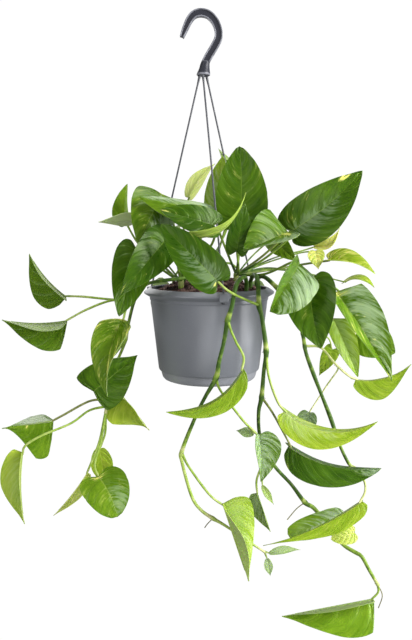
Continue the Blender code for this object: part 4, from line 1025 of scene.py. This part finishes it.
def midrib_tube(name, leaf, axes):
    """The midrib, which stands out below the blade and thins towards its tip."""
    size = leaf.half_width / USUAL_HALF_WIDTH
    points = []
    for i in range(MIDRIB_STEPS + 1):
        t = MIDRIB_END * i / MIDRIB_STEPS
        radius = MIDRIB_RADIUS * size ** 0.6 * (1 - t) ** 0.8 + 0.15
        sunk = 0.30 + radius * 0.35 + MIDRIB_GROOVE * (1 - 0.7 * t)
        points.append((*blade_point(leaf, axes, t, 0.0, -sunk), radius))
    midrib = round_tube(name + "_midrib", points, MIDRIB_SIDES)
    ring = len(midrib.data.vertices) // len(points)
    places = midrib.data.uv_layers.new(name="UVMap")
    for corner in midrib.data.loops:
        t = min(MIDRIB_END, MIDRIB_END * (corner.vertex_index // ring) / MIDRIB_STEPS)
        places.data[corner.index].uv = (0.5, t)
    return midrib


def parts_of(vector):
    node = add_node(vector.tree, "SeparateXYZ", Vector=vector)
    return [Output(node, axis) for axis in "XYZ"]


def noise_at(x, y, z, detail):
    """A noise texture read at a place put together from three values."""
    place = add_node(x.tree, "CombineXYZ", X=x, Y=y, Z=z)
    return noise_map(Output(place, "Vector"), 1.0, detail, 0.6)


def distance(a, b):
    return (a * a + b * b) ** 0.5


def ridge(value):
    """Rises to 1 at each whole number and falls to 0 halfway between two of them."""
    return abs(value.math("FRACT") - 0.5) * 2.0


def leaf_pattern_group():
    """Greens that drift and streak over the blade, veins, and cream splashes along the side veins.

    Surface holds the place across the blade and from joint to tip. Patch holds the spot where the splashes
    are heaviest and how far it reaches. Bloom place and Bloom reach say where the patch of painted sheen
    lies, a silvery highlight painted into the colour.
    """
    group, given, result = new_group(
        "leaf pattern", ("Surface", "Patch", "Bloom place", "Bloom reach"), LEAF_COLOURS,
        ("Splash amount", "Vein amount", "Bloom amount", "Seed"))
    u, v, _ = parts_of(Output(given, "Surface"))
    spot_u, spot_v, spot_reach = parts_of(Output(given, "Patch"))
    sheen_u, sheen_v, _ = parts_of(Output(given, "Bloom place"))
    reach_u, reach_v, _ = parts_of(Output(given, "Bloom reach"))
    side = u - 0.5
    hand = side.math("SIGN")
    q = abs(side) * 2.0
    half = hand * 3.7 + Output(given, "Seed")
    swept = v - q * q * VEIN_SWEEP

    drift = noise_at(q * 1.3, v * 2.8, half, 3.0)
    streak = noise_at(q * 1.2, swept * 26.0, half, 4.0)
    patch = noise_at(q * 1.5, swept * 5.0, half + 11.0, 2.0)
    fleck = noise_at(q * 5.0, swept * 84.0, half, 2.0)

    near = (1.0 - distance((u - spot_u) * 0.6, v - spot_v) / spot_reach).clamped()
    amount = near * 0.75 + Output(given, "Splash amount")
    over = streak * 0.55 + patch * 0.45 - (amount * -0.32 + 0.700)
    broad = (over / 0.022).clamped()
    halo = ((over + 0.075) / 0.075).clamped()
    flecks = ((fleck * 0.62 + patch * 0.38 - (amount * -0.26 + 0.700)) / 0.025).clamped()

    # A patch of painted sheen, a silvery highlight painted into the colour, ragged along the streaks
    inside = (1.0 - distance((u - sheen_u) / reach_u, (v - sheen_v) / reach_v)) * 1.6
    grains = streak * 5.0 + fleck * 2.0
    ragged = (inside + (grains - 3.8)) * (inside * 2.0).clamped()
    painted_sheen = ragged.clamped() * Output(given, "Bloom amount")

    ladder = swept * float(SIDE_VEINS) + hand * 0.25 + drift * 0.30
    crest = ridge(ladder)
    fine_vein = ridge(ladder * 4.0) ** 5.0
    rib = (1.6 - q / (v * -0.026 + 0.036)).clamped()
    vein = (crest ** 20.0 * 0.22 + fine_vein * 0.06 + rib * 0.9).clamped()

    tone = ((drift * 0.55 + streak * 0.45 - 0.40) / 0.24).clamped()
    green = blend(tone, Output(given, "Deep"), Output(given, "Fresh"))
    # The painted sheen is mixed into the green here
    with_painted_sheen = blend(painted_sheen * 0.75, green, Output(given, "Bloom"))
    haloed = blend(halo * 0.22, with_painted_sheen, Output(given, "Splash"))
    creamy = blend((broad * 0.85).math("MAXIMUM", flecks * 0.55), haloed, Output(given, "Splash"))
    veined = blend(vein * Output(given, "Vein amount"), creamy, Output(given, "Vein"))
    height = (1.0 - crest ** 2.0) + (streak * 0.25 + fleck * 0.22) - fine_vein * 0.12
    feed(result, Color=veined, Roughness=drift * 0.16 + streak * 0.10 + 0.17, Height=height)
    return group


def leaf_finish(name, greens, vein, look, vein_amount, seed, relief_depth):
    """The pattern on a face of a leaf. The upper face is glossy, and the lower one is matt."""
    finish, skin, where = new_finish(name)
    # Where the patch of painted sheen lies, how far it reaches and how strong it is
    across, along, reach_across, reach_along, strength = look.painted_sheen
    colours = zip(LEAF_COLOURS, (*greens, SPLASH, vein, PAINTED_SHEEN))
    pattern = add_group(
        finish.node_tree, leaf_pattern, Surface=Output(where, "UV"), Splash_amount=look.splash,
        Patch=look.spot, Bloom_place=(across, along, 0.0), Bloom_reach=(reach_across, reach_along, 1.0),
        Bloom_amount=strength, Vein_amount=vein_amount, Seed=seed,
        **{socket: (*colour, 1.0) for socket, colour in colours})
    feed(skin, Base_Color=Output(pattern, "Color"), Specular_Tint=GLOSS_TINT, Subsurface_Weight=0.5,
         Subsurface_Radius=(0.8, 1.0, 0.3), Subsurface_Scale=MM,
         Normal=bumpy(Output(pattern, "Height"), 0.7, relief_depth))
    if name.endswith("upper"):
        feed(skin, Roughness=Output(pattern, "Roughness"), Specular_IOR_Level=0.26)
    else:
        feed(skin, Roughness=0.55, Specular_IOR_Level=0.20)
    return finish


def between(first, second, share):
    return tuple(a + (b - a) * share for a, b in zip(first, second))


def blade_finishes(name, look, seed):
    """Upper and lower finish of a leaf, with greens between those of the two tones next to its own."""
    first = min(int(look.tone), len(TONES) - 2)
    greens = [between(a, b, look.tone - first) for a, b in zip(TONES[first], TONES[first + 1])]
    vein = between(VEIN, SPLASH, min(1.0, look.tone / 3.0))
    vein_amount = 0.22 + 0.20 * min(1.0, look.tone)
    upper = leaf_finish(name + "_upper", greens, vein, look, vein_amount, seed, UPPER_RELIEF)
    matt = [between(green, UNDERSIDE, look.under) for green in greens]
    matt_vein = between(vein, UNDERSIDE, 0.5)
    plain = Look(look.tone, splash=-1.0)
    return upper, leaf_finish(name + "_under", matt, matt_vein, plain, 0.6, seed, UNDER_RELIEF)


leaf_pattern = leaf_pattern_group()
small_blades = {}
for number, (name, leaf) in enumerate(LEAVES.items()):
    seed = 1.37 * number
    axes = blade_axes(leaf)
    upper, under = blade_finishes(name, leaf.look, seed)
    sheet = smooth_blade(name + "_sheet", leaf, axes, seed)
    sheet.data.materials.append(upper)
    sheet.data.materials.append(under)
    bpy.ops.object.modifier_apply(modifier="Thickness")
    midrib = midrib_tube(name, leaf, axes)
    midrib.data.materials.append(under)
    blade = join([sheet, midrib], name + "_blade")
    smooth(BLADE_SMOOTHING)
    if leaf.fused:
        small_blades[name] = blade
        continue
    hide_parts(name)
    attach(blade, "root")

# Stems
# Four vines and three short crowns come up out of the soil. A vine swells a little at each node, where a
# petiole leaves it and a few blunt root nubs show. A petiole thickens again just before its blade.
VINE_SIDES = 12
THIN_SIDES = 8
STEM_STEP = 3.0
PETIOLE_RADIUS = 1.1
PETIOLE_FOOT = 1.45
PETIOLE_BODY = 1.2
PETIOLE_END = 0.85
PETIOLE_PALING = 0.30
ROOTLET_RADIUS = 0.6
ROOTLET_STEP = 2.0
NUBS_AT_NODE = 2
NUB_RADIUS = 0.62
NUB_TAPER = 0.12
NUB_LENGTHS = (2.6, 5.0)
NODE_SWELLING = 0.25
NODE_REACH = 3.0
NODE_PALENESS = 0.65
NODE_BROWNNESS = 0.30
KNEE_LENGTH = 8.0
KNEE_SWELLING = 0.22
SHORT_LEAF = 45
RIPENING = 12.0

# How pale each vine is where it leaves the soil and at its end, and from what part of its length it turns
CROWN_TINT = (0.05, 0.05, 0.5)
VINE_TINTS = {"vine_left": (0.05, 0.30, 0.6), "vine_front": (0.00, 0.50, 0.56),
              "vine_middle": (0.00, 0.25, 0.7), "vine_right": (0.00, 0.10, 0.8)}

STEM_GREENS = (
    (0.0, (0.034, 0.082, 0.010, 1.0)), (0.4, (0.230, 0.350, 0.045, 1.0)), (1.0, (0.600, 0.620, 0.280, 1.0)),
)
STEM_BARKS = ((0.0, (0.055, 0.030, 0.024, 1.0)), (1.0, (0.220, 0.150, 0.095, 1.0)))

# How pale each petiole starts, and which ones are brownish
CROWN_PETIOLE_TINT = 0.0
VINE_PETIOLE_TINT = 0.25
PALE_PETIOLES = {"leaf_right_crown_13": 0.75, "small_leaf_right_2": 0.75, "leaf_right_vine_1": 0.60}
BROWNISH = {"leaf_left_vine_6": 0.55, "leaf_middle_vine_2": 0.45, "leaf_right_crown_2": 0.30,
            "leaf_right_crown_8": 0.25, "leaf_right_crown_10": 0.25}

STEMS = {
    "vine_left": ((-6, -42, -318, 2.1), (-6, -42, -293, 2.1), (-6, -42, -287, 2.1), (-14, -50, -283, 2.0),
        (-28, -56, -284, 2.0), (-43, -53, -286, 2.0), (-58, -38, -290, 1.9), (-68, -22, -298, 1.9),
        (-75, -15, -308, 1.9), (-82, -17, -334, 1.8), (-86, -18, -355, 1.9), (-91, -20, -369, 1.6),
        (-96, -22, -381, 1.6), (-104, -25, -407, 1.5), (-110, -24, -440, 1.5)),
    "vine_front": ((50, -38, -318, 2.4), (50, -38, -296, 2.4), (50, -38, -290, 2.4), (48, -48, -283, 2.4),
        (44, -62, -282, 2.5), (38, -77, -286, 2.5), (35, -86, -294, 2.4), (32, -88, -310, 2.3),
        (28, -87, -324, 2.7), (24, -87, -347, 2.1), (19, -87, -368, 2.2), (16, -86, -385, 2.6),
        (5, -85, -405, 2.0), (-5, -84, -426, 1.9), (-20, -82, -465, 2.2), (-20, -81, -479, 1.8),
        (-10, -77, -518, 1.8), (0, -76, -534, 1.7), (13, -75, -544, 2.0), (27, -72, -554, 1.5),
        (57, -66, -578, 1.3), (72, -62, -590, 1.2)),
    "vine_middle": ((56, -18, -318, 2.4), (56, -18, -294, 2.4), (56, -18, -288, 2.4), (58, -34, -281, 2.4),
        (60, -50, -282, 2.5), (61, -62, -291, 2.5), (61, -66, -300, 2.5), (62, -66, -313, 2.8),
        (65, -67, -325, 2.3), (70, -64, -361, 2.7), (68, -62, -382, 2.2), (66, -60, -412, 2.5),
        (63, -60, -428, 2.1), (64, -58, -452, 2.0), (70, -57, -473, 2.0), (84, -50, -496, 2.0),
        (103, -38, -520, 2.0), (121, -25, -547, 2.6), (133, -15, -558, 2.5), (150, -12, -579, 2.2),
        (168, -14, -603, 2.2), (182, -22, -610, 2.4), (189, -27, -613, 2.2), (198, -30, -629, 2.0),
        (209, -30, -648, 1.8)),
    "vine_right": ((64, -2, -318, 2.3), (64, -2, -295, 2.3), (64, -2, -290, 2.3), (67, -14, -284, 2.3),
        (73, -28, -285, 2.4), (84, -42, -295, 2.5), (95, -43, -303, 2.4), (107, -40, -321, 2.2),
        (113, -37, -346, 2.1), (117, -35, -367, 2.1), (126, -32, -391, 2.4), (137, -30, -418, 2.0),
        (148, -28, -445, 2.5), (160, -26, -478, 1.9), (171, -25, -500, 2.0), (178, -25, -506, 2.3)),
    "crown_left": ((-22, -36, -318, 3.2), (-22, -36, -302, 3.2), (-22, -36, -286, 2.4)),
    "crown_right": ((40, -14, -318, 3.8), (40, -14, -302, 3.8), (40, -14, -280, 2.8)),
    "crown_back": ((4, 28, -318, 3.4), (4, 28, -302, 3.4), (4, 28, -277, 2.6)),
}

ROOTLETS = (
    ("vine_front", ((13, -75, -544), (7, -76, -550), (4, -77, -554))),
    ("vine_middle", ((121, -25, -547), (111, -27, -554), (100, -30, -566))),
    ("vine_middle", ((208, -30, -646), (214, -30, -660), (210, -30, -676))),
)


def tinted_tube(name, points, sides, tint, bark):
    """A tube that carries how pale it is along its length, and how brown, for its finish to read."""
    piece = round_tube(name, points, sides)
    ring = len(piece.data.vertices) // len(points)
    pale = piece.data.attributes.new("pale", "FLOAT", "POINT")
    brown = piece.data.attributes.new("brown", "FLOAT", "POINT")
    for i in range(len(piece.data.vertices)):
        spot = min(i // ring, len(points) - 1)
        pale.data[i].value = tint(spot)
        brown.data[i].value = bark(spot)
    return piece


def vine_tube(name, route, knots):
    """The stem itself, a little swollen at its nodes, where a papery sheath makes it pale and brownish."""
    points = smooth_route(route, STEM_STEP)
    top, bottom, turning = VINE_TINTS.get(name, CROWN_TINT)
    near, tints = [], []
    for i, point in enumerate(points):
        gap = min([math.dist(point[:3], knot) for knot in knots], default=math.inf)
        close = math.exp(-(gap / NODE_REACH) ** 2)
        ripe = max(0.0, min(1.0, (i / len(points) - turning) * RIPENING))
        near.append(close)
        tints.append(top + (bottom - top) * ripe + NODE_PALENESS * close)
        points[i] = (*point[:3], point[3] * (1 + NODE_SWELLING * close))
    return tinted_tube(name + "_line", points, VINE_SIDES, lambda i: tints[i],
                       lambda i: NODE_BROWNNESS * near[i])


def petiole_tube(name, leaf, bark):
    """A petiole from its node to the base of its blade, thickest at its foot."""
    joint, length, forward, _, up = blade_axes(leaf)[:5]
    radius = PETIOLE_RADIUS * (0.7 if length < SHORT_LEAF else 1.0)
    end = joint + forward * 0.03 * length - up * 0.9
    points = [(*spot, radius * PETIOLE_BODY) for spot in leaf.petiole]
    points[0] = (*leaf.petiole[0], radius * PETIOLE_FOOT)
    points = smooth_route([*points, (*end, radius * PETIOLE_END)], STEM_STEP)
    for i, point in enumerate(points):
        knee = math.exp(-((math.dist(point[:3], end) - KNEE_LENGTH * 0.6) / (KNEE_LENGTH * 0.5)) ** 2)
        points[i] = (*point[:3], point[3] * (1 + KNEE_SWELLING * knee))
    count = len(points) - 1
    start = PALE_PETIOLES.get(name, VINE_PETIOLE_TINT)
    if leaf.stem.startswith("crown"):
        start = CROWN_PETIOLE_TINT
    return tinted_tube(name + "_petiole", points, THIN_SIDES, lambda i: start + PETIOLE_PALING * i / count,
                       lambda i: bark)


def root_nub(name, knot, draw):
    """A blunt brown root that starts from a node and stops in the air."""
    aim = Vector((draw.uniform(-1, 1), draw.uniform(-0.6, 1.0), draw.uniform(-0.9, 0.1))).normalized()
    start = Vector(knot)
    length = draw.uniform(*NUB_LENGTHS)
    points = [(*(start + aim * length * k / 3), NUB_RADIUS - NUB_TAPER * k) for k in range(4)]
    return tinted_tube(name, points, THIN_SIDES, lambda i: 0.0, lambda i: 0.9)


stem_finish, skin, where = new_finish("green_stem")
mottle = noise_map(Output(where, "Object"), 130.0, 4.0)
greens = ramp(attribute(stem_finish.node_tree, "pale") + (mottle - 0.5) * 0.9, *STEM_GREENS)
barks = ramp(mottle, *STEM_BARKS)
feed(skin, Base_Color=blend(attribute(stem_finish.node_tree, "brown"), greens, barks),
     Normal=bumpy(mottle, 0.5, 0.3), Roughness=0.42, Specular_IOR_Level=0.25, Specular_Tint=GLOSS_TINT)

nub_draw = random.Random(5)
for stem_name, route in STEMS.items():
    grown = [(name, leaf) for name, leaf in LEAVES.items() if leaf.stem == stem_name]
    rootlets = [points for grown_on, points in ROOTLETS if grown_on == stem_name]
    knots = sorted({leaf.petiole[0] for _, leaf in grown} | {points[0] for points in rootlets})
    tubes = [vine_tube(stem_name, route, knots)]
    for name, leaf in grown:
        tubes.append(petiole_tube(name, leaf, BROWNISH.get(name, 0.0)))
    if stem_name.startswith("vine"):
        for number, knot in enumerate(knots):
            for turn in range(NUBS_AT_NODE):
                tubes.append(root_nub(f"{stem_name}_nub_{number}_{turn}", knot, nub_draw))
    for points in rootlets:
        thin = smooth_route([(*point, ROOTLET_RADIUS) for point in points], ROOTLET_STEP)
        tubes.append(tinted_tube(stem_name + "_rootlet", thin, THIN_SIDES, lambda i: 0.3, lambda i: 0.75))
    for tube in tubes:
        tube.data.materials.append(stem_finish)
    leaflets = [small_blades[name] for name, leaf in grown if leaf.fused]
    stem_piece = join([*tubes, *leaflets], stem_name + "_stem")
    smooth(BLADE_SMOOTHING)
    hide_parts(stem_name)
    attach(stem_piece, "root")
